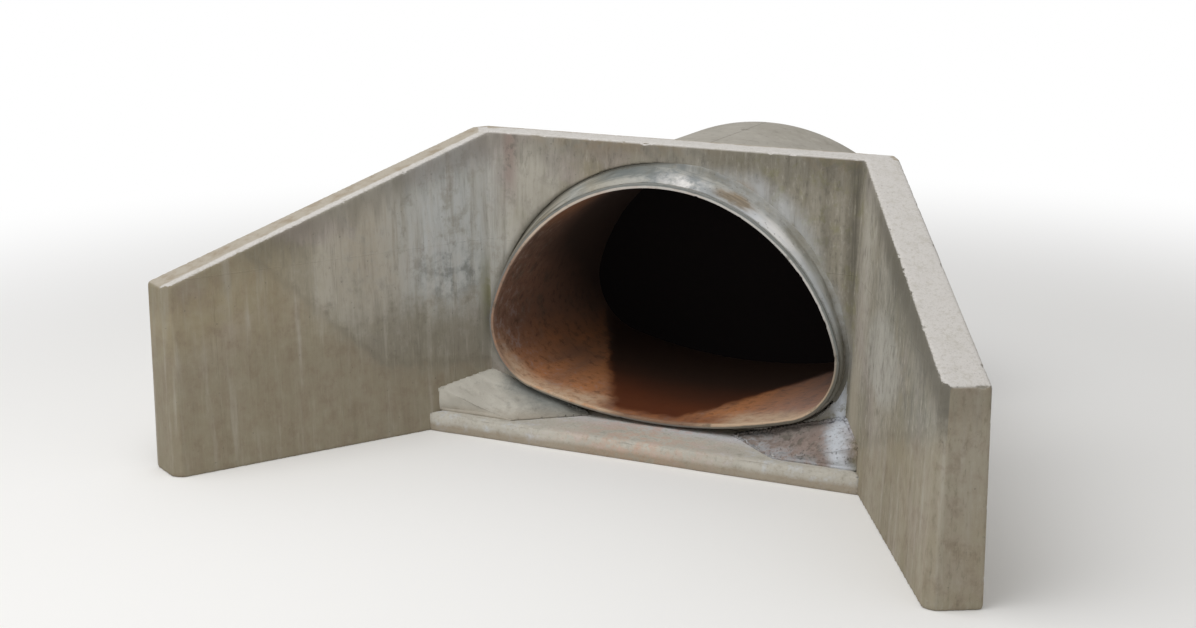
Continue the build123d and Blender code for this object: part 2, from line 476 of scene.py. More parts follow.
class Finish:
    """The nodes of one procedural finish."""

    def __init__(self, name, colours):
        self.colours = colours
        self.material = bpy.data.materials.new(name)
        self.material.use_nodes = True
        self.nodes = self.material.node_tree.nodes
        self.links = self.material.node_tree.links
        self.shader = next(n for n in self.nodes if n.type == "BSDF_PRINCIPLED")
        self.place = self.nodes.new("ShaderNodeTexCoord").outputs["Object"]

    def tint(self, tone):
        """One of the headwall's colours by its name, or a tone that is mixed already."""
        return linear(getattr(self.colours, tone)) if isinstance(tone, str) else tone

    def feed(self, socket, value):
        if isinstance(value, bpy.types.NodeSocket):
            self.links.new(value, socket)
        else:
            socket.default_value = value

    def maths(self, operation, first, second=0.0, third=0.0):
        node = self.nodes.new("ShaderNodeMath")
        node.operation = operation
        self.feed(node.inputs[0], first)
        self.feed(node.inputs[1], second)
        self.feed(node.inputs[2], third)
        return node.outputs[0]

    def times(self, *values):
        made = values[0]
        for value in values[1:]:
            made = self.maths("MULTIPLY", made, value)
        return made

    def raised(self, base, value, amount):
        """The base with so much of the value added."""
        return self.maths("MULTIPLY_ADD", value, amount, base)

    def either(self, first, second):
        return self.maths("MAXIMUM", first, second)

    def less(self, first, second):
        return self.maths("SUBTRACT", first, second)

    def aside(self, value):
        """How far the value is from 0, to either side."""
        return self.maths("ABSOLUTE", value)

    def swayed(self, value, sway, amount):
        """The value moved to and fro by a noise."""
        return self.raised(value, self.less(sway, 0.5), amount)

    def parts(self, vector):
        node = self.nodes.new("ShaderNodeSeparateXYZ")
        self.feed(node.inputs[0], vector)
        return node.outputs

    def joined(self, *values):
        node = self.nodes.new("ShaderNodeCombineXYZ")
        for socket, value in zip(node.inputs, values):
            self.feed(socket, value)
        return node.outputs[0]

    def upward(self):
        """How far the surface faces up, from -1 to 1."""
        node = self.nodes.new("ShaderNodeNewGeometry")
        return self.parts(node.outputs["True Normal"])[2]

    def noted(self, name):
        node = self.nodes.new("ShaderNodeAttribute")
        node.attribute_name = name
        return node.outputs["Fac"]

    def stretched(self, stretch, shift=(0.0, 0.0, 0.0), place=None):
        node = self.nodes.new("ShaderNodeMapping")
        self.feed(node.inputs["Vector"], self.place if place is None else place)
        node.inputs["Location"].default_value = shift
        node.inputs["Scale"].default_value = stretch
        return node.outputs[0]

    def noise(self, stretch, detail=4.0, rough=0.55, shift=(0.0, 0.0, 0.0), twist=0.0, place=None):
        """Noise with so many lumps to the metre along each axis."""
        if not isinstance(stretch, tuple):
            stretch = (stretch,) * 3
        node = self.nodes.new("ShaderNodeTexNoise")
        self.feed(node.inputs["Vector"], self.stretched(stretch, shift, place))
        node.inputs["Scale"].default_value = 1.0
        node.inputs["Detail"].default_value = detail
        node.inputs["Roughness"].default_value = rough
        node.inputs["Distortion"].default_value = twist
        return node.outputs["Fac"]

    def pits(self, density, size, shift=(0.0, 0.0, 0.0)):
        """Small round holes, 1 inside each."""
        node = self.nodes.new("ShaderNodeTexVoronoi")
        self.feed(node.inputs["Vector"], self.stretched((density,) * 3, shift))
        node.inputs["Scale"].default_value = 1.0
        return self.band(node.outputs["Distance"], size, size * 0.5)

    def band(self, value, low, high, bottom=0.0, top=1.0):
        """Goes smoothly from bottom to top as the value goes from low to high."""
        node = self.nodes.new("ShaderNodeMapRange")
        node.interpolation_type = "SMOOTHSTEP"
        self.feed(node.inputs["Value"], value)
        self.feed(node.inputs["From Min"], low)
        self.feed(node.inputs["From Max"], high)
        self.feed(node.inputs["To Min"], bottom)
        self.feed(node.inputs["To Max"], top)
        return node.outputs["Result"]

    def near(self, value, middle, reach):
        """1 where the value is at the middle, 0 beyond the reach."""
        return self.band(self.aside(self.less(value, middle)), reach, 0.0)

    def oval(self, across, up, middle, reach, outer=1.2, inner=0.4):
        """A soft oval patch: 1 within the inner share of its reach, 0 beyond the outer share."""
        wide = self.maths("DIVIDE", self.less(across, middle[0]), reach[0])
        high = self.maths("DIVIDE", self.less(up, middle[1]), reach[1])
        apart = self.maths("SQRT", self.maths("ADD", self.times(wide, wide), self.times(high, high)))
        return self.band(apart, outer, inner)

    def over(self, under, tone, share):
        """Lays a tone over what is under it, by a share."""
        node = self.nodes.new("ShaderNodeMix")
        node.data_type = "RGBA"
        self.feed(node.inputs["Factor"], share)
        self.feed(node.inputs[6], self.tint(under))
        self.feed(node.inputs[7], self.tint(tone))
        return node.outputs[2]

    def relief(self, height, depth):
        node = self.nodes.new("ShaderNodeBump")
        node.inputs["Distance"].default_value = depth
        self.feed(node.inputs["Height"], height)
        return node.outputs["Normal"]

    def wear(self, tone, roughness, normal):
        self.feed(self.shader.inputs["Base Color"], tone)
        self.feed(self.shader.inputs["Roughness"], roughness)
        self.feed(self.shader.inputs["Normal"], normal)
        return self.material


class Coats:
    """Colours laid one over another, each where all of its shares say."""

    def __init__(self, finish, tone):
        self.finish = finish
        self.tone = tone

    def lay(self, tone, *shares):
        self.tone = self.finish.over(self.tone, tone, self.finish.times(*shares))


# The walls' finish


def wall_readings(f):
    """Where each point of the walls is, and the noises that their coats share."""
    x, _, z = f.parts(f.place)
    behind = f.noted("behind")
    return SimpleNamespace(
        x=x,
        z=z,
        run=f.noted("run"),
        drop=f.noted("drop"),
        behind=behind,
        front=f.band(behind, 0.1, 0.05),
        above_soil=f.noted("above_soil"),
        edge=f.noted("edge"),
        ring=f.noted("ring"),
        streak=f.noise((9.0, 9.0, 0.5), 6, 0.6, (3.1, 0.4, 0.0)),
        hair=f.noise((46.0, 46.0, 1.6), 4, 0.6, (0.0, 7.0, 2.0)),
        cloud=f.noise(0.85, 4, 0.5, (5.0, 2.0, 9.0)),
        mottle=f.noise(6.0, 8, 0.66, (1.0, 4.0, 2.0)),
        grain=f.noise(80.0, 5, 0.7),
    )


def wall_patch(f, at, middle, reach, sway, outer=1.2, inner=0.4):
    """A ragged oval on the walls' faces, placed by distance along them and by level."""
    across, up = f.swayed(at.run, at.cloud, sway[0]), f.swayed(at.z, at.mottle, sway[1])
    return f.oval(across, up, middle, reach, outer, inner)


def wall_strip(f, at, middle, width, sway=0.1):
    """A crooked upright strip of the walls' faces, placed by distance along them."""
    return f.near(f.swayed(at.run, at.streak, sway), middle, width)


def lay_wall_tones(f, at, face):
    """The faces' own tones, in broad clouds."""
    broad = f.noise((1.5, 1.5, 0.22), 5, 0.55)
    mauve = f.noise(1.3, 4, 0.6, (2.0, 8.0, 4.0))
    olive = f.noise(1.6, 4, 0.6, (9.0, 1.0, 7.0))
    face.lay("face_pale", f.band(broad, 0.34, 0.66))
    face.lay("face_warm", f.band(at.cloud, 0.45, 0.7), 0.55)
    face.lay("face_warm", f.band(f.swayed(at.run, at.cloud, 1.2), -3.2, -4.8), 0.8)
    face.lay("face_mauve", f.band(mauve, 0.5, 0.66), 0.4)
    face.lay("algae", f.band(olive, 0.52, 0.68), 0.22)


def lay_wall_patches(f, at, face):
    """Patches: olive, blue-grey and dark on the left wing, pale, dull and dark on the right one."""
    run, z, front, mottle, streak = at.run, at.z, at.front, at.mottle, at.streak
    olive = wall_patch(f, at, (-3.2, 1.85), (0.6, 0.6), (0.5, 0.4))
    face.lay("top_soiled", olive, front, f.band(mottle, 0.36, 0.55), 0.7)
    brushed = wall_patch(f, at, (-2.4, 1.9), (0.8, 1.1), (0.5, 0.5), 1.15, 0.3)
    brushed = f.times(brushed, front, f.band(streak, 0.3, 0.6, 0.4, 0.9))
    face.lay("face_blue", brushed, f.band(mottle, 0.36, 0.5, 0.6, 1.0))
    face.lay("face_dark", f.band(f.swayed(z, mottle, 0.6), 1.5, 0.9), f.band(run, -1.9, -2.1), 0.85)
    blotch = wall_patch(f, at, (-2.4, 1.5), (0.45, 0.3), (0.6, 0.5), 1.1)
    face.lay("mortar_dark_and_shade", blotch, front, f.band(mottle, 0.62, 0.42), 0.6)
    ragged_run, ragged_level = f.swayed(run, mottle, 0.5), f.swayed(z, mottle, 0.35)
    pale = f.oval(ragged_run, ragged_level, (3.25, 1.38), (0.75, 0.42), 1.1, 0.65)
    face.lay(f.over("face_pale", "face_blue", 0.5), pale, front, 0.6)
    dull = wall_patch(f, at, (3.6, 1.95), (1.0, 0.38), (0.6, 0.4), 1.2, 0.5)
    face.lay("mortar_dark_and_shade", dull, front, f.band(streak, 0.66, 0.4, 0.4, 1.0), 0.42)
    dark = wall_patch(f, at, (4.6, 1.4), (0.8, 0.5), (0.6, 0.5))
    face.lay("mortar_dark_and_shade", dark, front, f.band(mottle, 0.6, 0.4, 0.4, 1.0), 0.5)


def lay_wall_streaks(f, at, face):
    """The streaks, hair lines and flecks that water has left down the faces."""
    x, run, mottle, streak, hair = at.x, at.run, at.mottle, at.streak, at.hair
    face.lay("face_dark", f.band(f.swayed(x, at.cloud, 0.6), -0.5, 0.9), f.band(run, 2.3, 1.9), 0.8)
    face.lay("face_dark", f.band(run, 2.0, 2.2), 0.3)
    face.lay("face_pale", f.band(streak, 0.52, 0.72), f.band(run, 1.9, 2.2, 0.4, 0.22))
    face.lay("grime_and_shade", f.band(streak, 0.47, 0.3), 0.24)
    face.lay("face_pale", f.band(hair, 0.55, 0.72), 0.22)
    face.lay("grime_and_shade", f.band(hair, 0.45, 0.3), 0.16)
    fleck = f.noise((24.0, 24.0, 8.0), 7, 0.7, (2.0, 6.0, 3.0))
    under_top = f.times(f.band(at.drop, 0.5, 0.2), f.band(run, -1.9, -1.7), 1.3)
    flecked = f.either(f.band(run, -1.9, 0.6, 0.45, 1.4), under_top)
    face.lay("grime_and_shade", f.band(fleck, 0.48, 0.34), flecked, 0.34)
    face.lay("face_pale", f.band(fleck, 0.53, 0.68), flecked, 0.36)
    olive = f.noise(7.0, 6, 0.65, (6.0, 3.0, 8.0))
    face.lay("algae", f.band(olive, 0.5, 0.64), f.band(run, 0.4, 1.2), f.band(run, 2.4, 1.8), 0.5)
    face.lay("face_pale", f.band(mottle, 0.54, 0.72), 0.2)
    face.lay("grime_and_shade", f.band(mottle, 0.48, 0.3), f.band(x, -0.6, 0.8, 0.2, 0.36))


def lay_wall_damp(f, at, face):
    """Darker bands under the tops, darker strips down the two corners, and drips."""
    run, z, drop, front, mottle, hair = at.run, at.z, at.drop, at.front, at.mottle, at.hair
    reach = f.raised(-0.18, at.streak, 0.9)
    face.lay("grime_and_shade", f.band(f.less(drop, reach), 0.1, -0.16), 0.36)
    shade_depth = f.band(run, 2.6, 3.6, 0.24, 0.52)
    shaded = f.band(f.swayed(drop, mottle, 0.16), shade_depth, 0.1)
    face.lay("grime_and_shade", shaded, f.band(run, 2.2, 3.2), front, 0.62)
    right_corner = wall_strip(f, at, 1.85, 0.13, 0.06)
    face.lay("grime_and_shade", right_corner, f.band(z, 1.0, 1.9), f.band(hair, 0.2, 0.55), front, 0.8)
    face.lay("grime_and_shade", wall_strip(f, at, -1.82, 0.12, 0.08), f.band(hair, 0.25, 0.6), front, 0.3)
    for middle, width, low in ((1.57, 0.07, 1.7), (1.38, 0.05, 2.0), (1.2, 0.06, 2.2), (-1.72, 0.05, 1.2)):
        drip = f.times(wall_strip(f, at, middle, width, 0.12), f.band(z, low, low + 0.5))
        face.lay("grime_and_shade", drip, front, f.band(hair, 0.25, 0.6), 0.38)


def lay_wall_stains(f, at, face):
    """Stains by the corners: brown high on the left, olive and soiled low down, and lime low on the right."""
    x, z, front, mottle, hair = at.x, at.z, at.front, at.mottle, at.hair
    brown = f.times(wall_strip(f, at, -1.67, 0.13), f.band(f.swayed(z, hair, 0.5), 1.9, 2.5))
    face.lay("packing", brown, front, f.band(mottle, 0.34, 0.52, 0.4, 0.85))
    face.lay("grime_and_shade", brown, front, f.band(mottle, 0.5, 0.4), 0.6)
    olive = f.times(wall_strip(f, at, -1.98, 0.13), f.near(z, 1.25, 0.55))
    face.lay("algae", olive, f.band(mottle, 0.3, 0.55), front, 0.8)
    ragged_level = f.swayed(z, mottle, 0.4)
    low_right = f.times(f.near(at.run, 2.15, 0.4), f.band(ragged_level, 1.0, 0.55))
    face.lay("algae", low_right, f.band(x, 1.85, 1.95), front, 0.42)
    soiled = f.times(wall_strip(f, at, 2.2, 0.36), f.band(ragged_level, 1.3, 0.8), f.band(x, 1.85, 1.93))
    face.lay("top_soiled", soiled, front, f.band(hair, 0.3, 0.55, 0.4, 0.85))
    bloom = f.times(f.near(f.swayed(at.run, mottle, 0.08), 1.77, 0.13), f.band(ragged_level, 1.0, 0.7))
    face.lay("lime", bloom, front, f.band(mottle, 0.28, 0.42))


def lay_wall_round_arch(f, at, face):
    """What shows on the wall round the mortar: a dark line along its edge, partly dirt in the crack and
    partly painted shade of the groove, a lime smear left by the trowel, and earth over the crown.
    """
    x, z, run, ring, front, mottle = at.x, at.z, at.run, at.ring, at.front, at.mottle
    # Painted shade of the groove along the mortar's edge on the left, with some dirt in the crack.
    line = f.near(f.swayed(ring, mottle, 0.04), 0.0, f.band(z, 2.6, 2.0, 0.02, 0.09))
    face.lay("grime_and_shade", line, f.band(x, 0.1, -0.4), front, 0.6)
    crown = f.times(f.band(f.swayed(at.drop, mottle, 0.2), 0.2, 0.02), f.band(at.cloud, 0.4, 0.55))
    crown = f.times(crown, f.band(run, 2.0, 1.8))
    face.lay("earth", crown, f.band(run, -1.8, -1.6), f.band(mottle, 0.4, 0.56), front, 0.42)
    face.lay("grime_and_shade", crown, front, f.band(run, -0.8, 0.4, 0.1, 0.3))
    reach = f.times(f.band(z, 1.8, 2.4, 0.25, 1.0), f.band(x, 0.45, 1.0, 0.05, 0.19))
    smear = f.band(f.less(f.swayed(ring, mottle, 0.16), reach), 0.07, -0.12)
    smear = f.times(smear, f.band(x, 0.1, 0.6), front, f.band(at.streak, 0.3, 0.55, 0.5, 1.0))
    face.lay("lime", smear, f.band(mottle, 0.3, 0.5, 0.4, 1.0), 0.44)
    brown = f.oval(x, f.swayed(z, mottle, 0.2), (0.74, 2.42), (0.2, 0.17), 1.1)
    face.lay("earth", brown, front, f.band(mottle, 0.3, 0.55), 0.7)


def lay_wall_earth(f, at, face):
    """Dried earth low on the faces and over the backs."""
    depth = f.swayed(at.above_soil, at.mottle, 0.35)
    soil = Coats(f, f.over("earth", "face_warm", f.band(at.mottle, 0.34, 0.6)))
    soil.lay("face_pale", f.band(at.streak, 0.5, 0.7), 0.4)
    face.lay(soil.tone, f.band(depth, 0.16, -0.2), 0.45)
    face.lay("grime_and_shade", f.near(depth, 0.02, 0.08), 0.16)


def lay_wall_tops(f, at, face):
    """The tops, bleached in front and earth-stained behind, and the pale arrises, partly edge wear and partly
    a painted highlight.
    """
    run, mottle, grain = at.run, at.mottle, at.grain
    top = Coats(f, "top_pale")
    top.lay("face_pale", f.band(mottle, 0.5, 0.75), 0.5)
    top.lay("grime_and_shade", f.band(grain, 0.52, 0.68), 0.32)
    top.lay("face_pale", f.band(f.noise(24.0, 5, 0.7), 0.5, 0.66), 0.55)
    stained = f.over("top_soiled", "earth", f.band(mottle, 0.42, 0.68, 0.0, 0.7))
    limit = f.either(f.band(run, -1.97, -1.86, 0.08, 0.25), f.band(run, 1.86, 2.02, 0.0, 0.6))
    past_limit = f.less(f.swayed(at.behind, mottle, 0.09), limit)
    top.lay(stained, f.band(past_limit, -0.01, 0.03), 0.9)
    face.lay(top.tone, f.band(f.upward(), 0.5, 0.8))
    # Pale arrises: edge wear and a painted highlight along the walls' long edges.
    arris = f.times(f.band(at.edge, 0.02, 0.006), f.band(grain, 0.3, 0.5))
    face.lay("top_pale", arris, f.band(run, -1.95, -1.85, 0.15, 0.55))


def wall_relief(f, at, holes):
    """The faces' grain, streaks and air holes, and the form panels' faint edges."""
    panels = f.near(f.maths("FRACT", f.raised(0.46, at.run, 0.82)), 0.5, 0.004)
    panels = f.times(f.either(panels, f.near(at.z, 1.8, 0.007)), f.band(at.mottle, 0.36, 0.48))
    height = f.less(f.raised(f.times(at.grain, 0.16), at.mottle, 0.5), f.times(holes, 0.5))
    height = f.raised(f.raised(height, at.streak, 0.12), panels, 0.3)
    return f.relief(height, 0.007)


def wall_finish(colours):
    """Cast wall concrete: olive-grey faces with soft streaks, bleached tops and dried earth low down."""
    f = Finish("wall_concrete", colours)
    at = wall_readings(f)
    face = Coats(f, "face_dark")
    for lay in (
        lay_wall_tones,
        lay_wall_patches,
        lay_wall_streaks,
        lay_wall_damp,
        lay_wall_stains,
        lay_wall_round_arch,
        lay_wall_earth,
        lay_wall_tops,
    ):
        lay(f, at, face)
    holes = f.either(f.pits(9.0, 0.07), f.times(f.pits(19.0, 0.1, (4.0, 1.0, 0.0)), 0.6))
    face.lay("grime_and_shade", holes, 0.3)
    return f.wear(face.tone, f.band(at.mottle, 0.3, 0.7, 0.82, 0.96), wall_relief(f, at, holes))


# The pipe's finish


def pipe_readings(f):
    """Where each point of the pipe is, and the noises that its coats share."""
    x, y, z = f.parts(f.place)
    return SimpleNamespace(
        x=x,
        y=y,
        z=z,
        inside=f.noted("inside"),
        lip=f.noted("lip"),
        girth=f.noted("girth"),
        growth=f.noted("growth"),
        mottle=f.noise(6.0, 8, 0.65, (2.0, 1.0, 5.0)),
        cloud=f.noise(1.5, 4, 0.55, (7.0, 3.0, 1.0)),
        grain=f.noise(90.0, 4, 0.65),
        drips=f.noise((9.0, 9.0, 0.9), 5, 0.6, (1.0, 6.0, 0.0)),
        flow=f.noise((4.0, 0.8, 4.0), 5, 0.6, (4.0, 0.0, 2.0)),
        spots=f.noise(11.0, 7, 0.7, (3.0, 8.0, 1.0)),
    )


def wet_and_shade_share(f, at):
    """1 in the damp channel along the invert, which is wider further in: partly a damp film and partly
    painted shade beyond the lit strip by the mouth.
    """
    centred = f.maths("ADD", f.swayed(f.swayed(at.x, at.flow, 0.2), at.mottle, 0.16), 0.2)
    channel = f.less(f.aside(centred), f.times(at.y, 0.475))
    behind_lip = f.band(f.swayed(at.y, at.mottle, 0.3), -0.2, -0.02)
    return f.times(f.band(channel, 0.5, 0.32), f.band(at.z, 0.75, 0.5), behind_lip)


def lay_film_colours(f, at, film):
    """The bore's film: orange low down, browner up the sides, with drips and spots."""
    x, y, z, spots = at.x, at.y, at.z, at.spots
    level = f.swayed(z, at.cloud, 0.6)
    film.lay("bore_damp_and_shade", f.band(level, 1.1, 2.2), 0.45)
    orange = f.times(f.band(level, 1.05, 0.4), f.band(at.flow, 0.3, 0.62, 0.3, 0.9))
    film.lay("rust", orange, f.band(x, -1.7, 0.2, 0.75, 1.0))
    film.lay("grime_and_shade", f.band(at.mottle, 0.5, 0.7), f.band(z, 0.6, 1.2, 0.2, 0.6))
    film.lay("earth", f.band(at.drips, 0.56, 0.74), f.band(y, 0.7, -0.1), 0.35)
    left_side = f.times(f.band(x, -0.9, -1.4), f.near(z, 0.95, 0.55), f.band(y, 0.5, -0.1))
    film.lay("face_mauve", left_side, f.band(spots, 0.5, 0.66), 0.4)
    film.lay("rust_wet_and_shade", left_side, f.band(spots, 0.44, 0.32), f.band(z, 1.1, 0.7), 0.7)
    film.lay("bore_damp_and_shade", f.band(spots, 0.5, 0.34), 0.45)
    film.lay("face_mauve", f.band(spots, 0.52, 0.68), f.band(y, 0.9, 0.0), 0.4)
    film.lay("face_mauve", f.band(x, 0.5, 1.2), f.band(z, 1.0, 0.5), 0.4)


def lay_film_depth(f, at, film, wet_and_shade):
    """The damp channel along the invert, partly painted shade, the glow under the crown, and painted shade
    further in.
    """
    x, y, z = at.x, at.y, at.z
    # The dark wedge along the invert: partly a damp film, partly painted shade beyond the lit strip.
    film.lay("rust_wet_and_shade", wet_and_shade, 0.95)
    glow = f.times(f.band(x, 0.0, -0.5), f.band(z, 1.85, 2.15), f.band(f.swayed(y, at.flow, 0.3), 0.9, 0.0))
    film.lay("rust", glow, 0.26)
    lit = f.times(f.band(z, 1.7, 0.5), f.less(1.0, wet_and_shade), 1.15)
    lit = f.less(lit, f.band(z, 1.1, 1.8, 0.0, 0.2))
    # Painted shade: the film goes dark further in, less far low down, where the lit strip reaches deeper.
    film.lay("bore_damp_and_shade", f.band(f.less(f.swayed(y, at.cloud, 0.6), lit), 0.1, 1.3, 0.0, 0.96))


def lay_film_mouth(f, at, film, wet_and_shade, sizes):
    """The bore's cream rim, its brown middle, and the mortar that shows in the lifting holes."""
    x, y, z, spots = at.x, at.y, at.z, at.spots
    low = f.band(z, 1.0, 0.45)
    cream_depth = f.band(f.aside(f.less(x, 0.2)), 1.4, 0.7, -0.06, 0.12)
    middle = f.band(f.aside(f.swayed(x, at.cloud, 0.4)), 0.85, 0.45)
    cream = f.times(f.band(f.less(f.swayed(y, at.mottle, 0.3), cream_depth), 0.16, -0.14), low)
    cream = f.times(cream, f.less(1.0, wet_and_shade), f.less(1.0, middle))
    film.lay("lip", cream, f.band(spots, 0.32, 0.6, 0.35, 0.95))
    film.lay("rust_wet_and_shade", middle, f.band(z, 0.6, 0.4), f.band(y, 0.2, -0.1), 0.5)
    for place in lift_places(sizes):
        plugged = f.oval(x, y, (0.0, place), (0.045, 0.045), 1.1, 0.85)
        film.lay("mortar_dark_and_shade", plugged, f.band(z, 2.2, 2.3), 0.7)


def bore_film(f, at, wet_and_shade, sizes):
    film = Coats(f, "rust_brown")
    lay_film_colours(f, at, film)
    lay_film_depth(f, at, film, wet_and_shade)
    lay_film_mouth(f, at, film, wet_and_shade, sizes)
    return film.tone


def cast_outside(f, at, seam):
    """The outside: even cast grey with a little earth and the mould's seams."""
    drips, mottle = at.drips, at.mottle
    cast = Coats(f, "pipe_outside")
    cast.lay("face_dark", f.band(at.cloud, 0.4, 0.7), 0.3)
    cast.lay("earth", f.band(f.swayed(at.z, mottle, 1.1), 1.6, 0.3), f.band(mottle, 0.35, 0.65), 0.55)
    cast.lay("face_pale", f.band(drips, 0.5, 0.7), 0.4)
    cast.lay("grime_and_shade", f.band(drips, 0.45, 0.3), 0.2)
    cast.lay("grime_and_shade", seam, f.band(mottle, 0.3, 0.5), 0.35)
    return cast.tone


def lip_rim(f, at):
    """The lip's edge: grey high on the right, rusty on the left and low down, and dark round its outside,
    partly mortar and partly painted shadow of the gap under the lip.
    """
    x, z, mottle = at.x, at.z, at.mottle
    rim = Coats(f, "lip")
    rim.lay("lip_grey", f.band(x, -1.7, 0.3, 0.3, 1.0), f.band(z, 0.7, 1.3))
    rusty = f.times(f.band(f.swayed(x, at.cloud, 0.4), -0.9, -1.5), f.band(z, 0.42, 0.6), f.band(z, 2.0, 1.6))
    rim.lay("rust_brown", rusty, 0.8)
    rim.lay("rust", f.band(mottle, 0.5, 0.66), f.band(x, 0.9, 0.3), f.band(z, 1.5, 0.8, 0.12, 0.55))
    rim.lay("grime_and_shade", f.band(mottle, 0.46, 0.34), 0.6)
    rim.lay("rust_wet_and_shade", f.band(f.aside(x), 0.65, 0.3), f.band(z, 0.6, 0.4), 0.65)
    # Painted shade low on the right of the lip.
    rim.lay("grime_and_shade", f.band(x, 1.25, 1.5), f.near(z, 1.0, 0.65), 0.6)
    low_right = f.times(f.band(x, 0.5, 1.2), f.band(z, 1.3, 0.6))
    # The lip face's outer part: mortar colour, and painted shadow of the gap under the lip low on the right.
    outer = f.band(f.swayed(f.raised(at.growth, low_right, 0.008), mottle, 0.02), 0.021, 0.031)
    rim.lay("mortar_dark_and_shade", outer, f.band(z, 0.42, 0.7, 0.75, 0.9))
    rim.lay("grime_and_shade", outer, f.band(x, 0.4, 1.0), f.band(z, 1.2, 0.8), 0.75)
    return rim.tone


def pipe_finish(colours, sizes):
    """Pipe concrete: rust film in the bore, pale lip, cast grey outside with a little earth left on it."""
    f = Finish("pipe_concrete", colours)
    at = pipe_readings(f)
    wet_and_shade = wet_and_shade_share(f, at)
    seam = f.near(f.maths("FRACT", f.raised(0.5, at.girth, 4.0)), 0.5, 0.006)
    outside = f.less(1.0, at.inside)
    holes = f.times(f.pits(12.0, 0.09), outside)
    pipe = Coats(f, cast_outside(f, at, seam))
    pipe.lay(bore_film(f, at, wet_and_shade, sizes), at.inside)
    pipe.lay(lip_rim(f, at), at.lip, 0.95)
    pipe.lay("grime_and_shade", holes, 0.45)
    height = f.less(f.raised(f.times(at.grain, 0.12), at.mottle, 0.4), holes)
    height = f.raised(height, f.times(seam, outside), 0.5)
    return f.wear(pipe.tone, f.band(wet_and_shade, 0.0, 1.0, 0.88, 0.5), f.relief(height, 0.006))


# The mortars' finishes and the slab's


def collar_readings(f):
    """Where each point of the collar is, and noises drawn out along the trowel's path."""
    x, _, z = f.parts(f.place)
    share = f.noted("share")
    trowelled = f.joined(f.noted("girth"), share, 0.0)
    return SimpleNamespace(
        x=x,
        z=z,
        share=share,
        drag=f.noise((1.3, 4.2, 1.0), 6, 0.6, (0.0, 3.0, 1.0), 0.9, trowelled),
        swipe=f.noise((3.6, 2.0, 1.0), 6, 0.62, (7.0, 1.0, 2.0), 0.6, trowelled),
        mottle=f.noise(8.0, 7, 0.66),
        cloud=f.noise(1.8, 4, 0.5, (8.0, 0.0, 3.0)),
        grain=f.noise(85.0, 4, 0.7),
    )


def lay_drag_marks(f, at, mortar):
    """The mortar's own tones and the trowel's dark and pale marks along it."""
    x, drag, cloud = at.x, at.drag, at.cloud
    crown = f.band(f.aside(f.less(x, -0.1)), 1.0, 0.3)
    mortar.lay("mortar_dark_and_shade", f.band(drag, 0.42, 0.64), f.band(x, 0.4, 1.0, 0.9, 0.12))
    mortar.lay("mortar_dark_and_shade", f.band(at.swipe, 0.42, 0.6), f.band(crown, 0.0, 1.0, 0.25, 0.95))
    mortar.lay("lime", f.band(cloud, 0.4, 0.6), f.band(x, -0.2, 0.9, 0.1, 0.36))
    mortar.lay("face_warm", f.band(x, 0.0, -0.9), f.band(cloud, 0.35, 0.6), 0.55)
    mortar.lay("grime_and_shade", f.band(x, -0.9, -1.35), f.band(drag, 0.38, 0.55, 0.3, 0.7))
    mortar.lay("face_warm", f.band(at.mottle, 0.5, 0.7), 0.3)


def lay_collar_crown(f, at, mortar):
    """Over the crown: dark to its left, laitance to its right, and a dull haze by the wall."""
    x, share, drag, swipe, mottle = at.x, at.share, at.drag, at.swipe, at.mottle
    ragged_share = f.swayed(share, mottle, 0.5)
    shadow = f.times(f.near(f.swayed(x, drag, 0.4), -0.4, 0.5), f.band(ragged_share, 0.85, 0.35))
    mortar.lay("mortar_dark_and_shade", shadow, f.band(drag, 0.3, 0.5, 0.7, 1.0))
    mortar.lay("grime_and_shade", shadow, f.band(swipe, 0.52, 0.64), 0.5)
    pale = f.times(f.near(f.swayed(x, swipe, 0.3), 0.25, 0.36), f.band(ragged_share, 0.3, 0.7))
    mortar.lay("laitance", pale, f.band(mottle, 0.34, 0.6), 0.95)
    haze = f.times(f.band(f.swayed(share, mottle, 0.4), 0.5, 0.05), f.band(x, 0.0, 0.5))
    mortar.lay("face_dark", haze, f.band(mottle, 0.62, 0.4, 0.2, 0.6))


def lay_collar_right(f, at, mortar):
    """Down the right: lime and laitance by the lip, a brown stain above, and painted shade along the lip and
    low down.
    """
    x, z, share, drag, mottle = at.x, at.z, at.share, at.drag, at.mottle
    right = f.band(x, 0.3, 1.0)
    ragged_share = f.swayed(share, mottle, 0.3)
    mortar.lay("lime", f.band(ragged_share, 0.4, 0.8), right, f.band(z, 1.1, 1.6), 0.5)
    pale = f.times(f.near(f.swayed(x, mottle, 0.3), 1.18, 0.36), f.band(ragged_share, 0.25, 0.6))
    mortar.lay("laitance", pale, f.band(drag, 0.36, 0.56, 0.3, 0.8))
    brown = f.oval(x, f.swayed(z, mottle, 0.2), (0.72, 2.38), (0.28, 0.22), 1.2, 0.2)
    across_band = f.near(f.swayed(share, mottle, 0.5), 0.6, 0.5)
    brown = f.times(brown, across_band, f.band(at.swipe, 0.36, 0.5, 0.6, 1.0))
    brown = f.band(brown, 0.0, 0.75, 0.0, 0.85)
    mortar.lay("earth", brown, f.band(mottle, 0.3, 0.5, 0.55, 1.0))
    mortar.lay("grime_and_shade", brown, f.band(drag, 0.4, 0.55), 0.5)
    # Painted shade: a dark line where the mortar meets the lip.
    mortar.lay("grime_and_shade", f.near(share, 0.985, 0.03), right, f.band(mottle, 0.3, 0.45), 0.75)
    # Painted shade low on the right, between the pipe and the wing.
    mortar.lay("grime_and_shade", f.band(x, 1.25, 1.5), f.band(f.swayed(z, mottle, 0.4), 1.5, 1.0), 0.5)


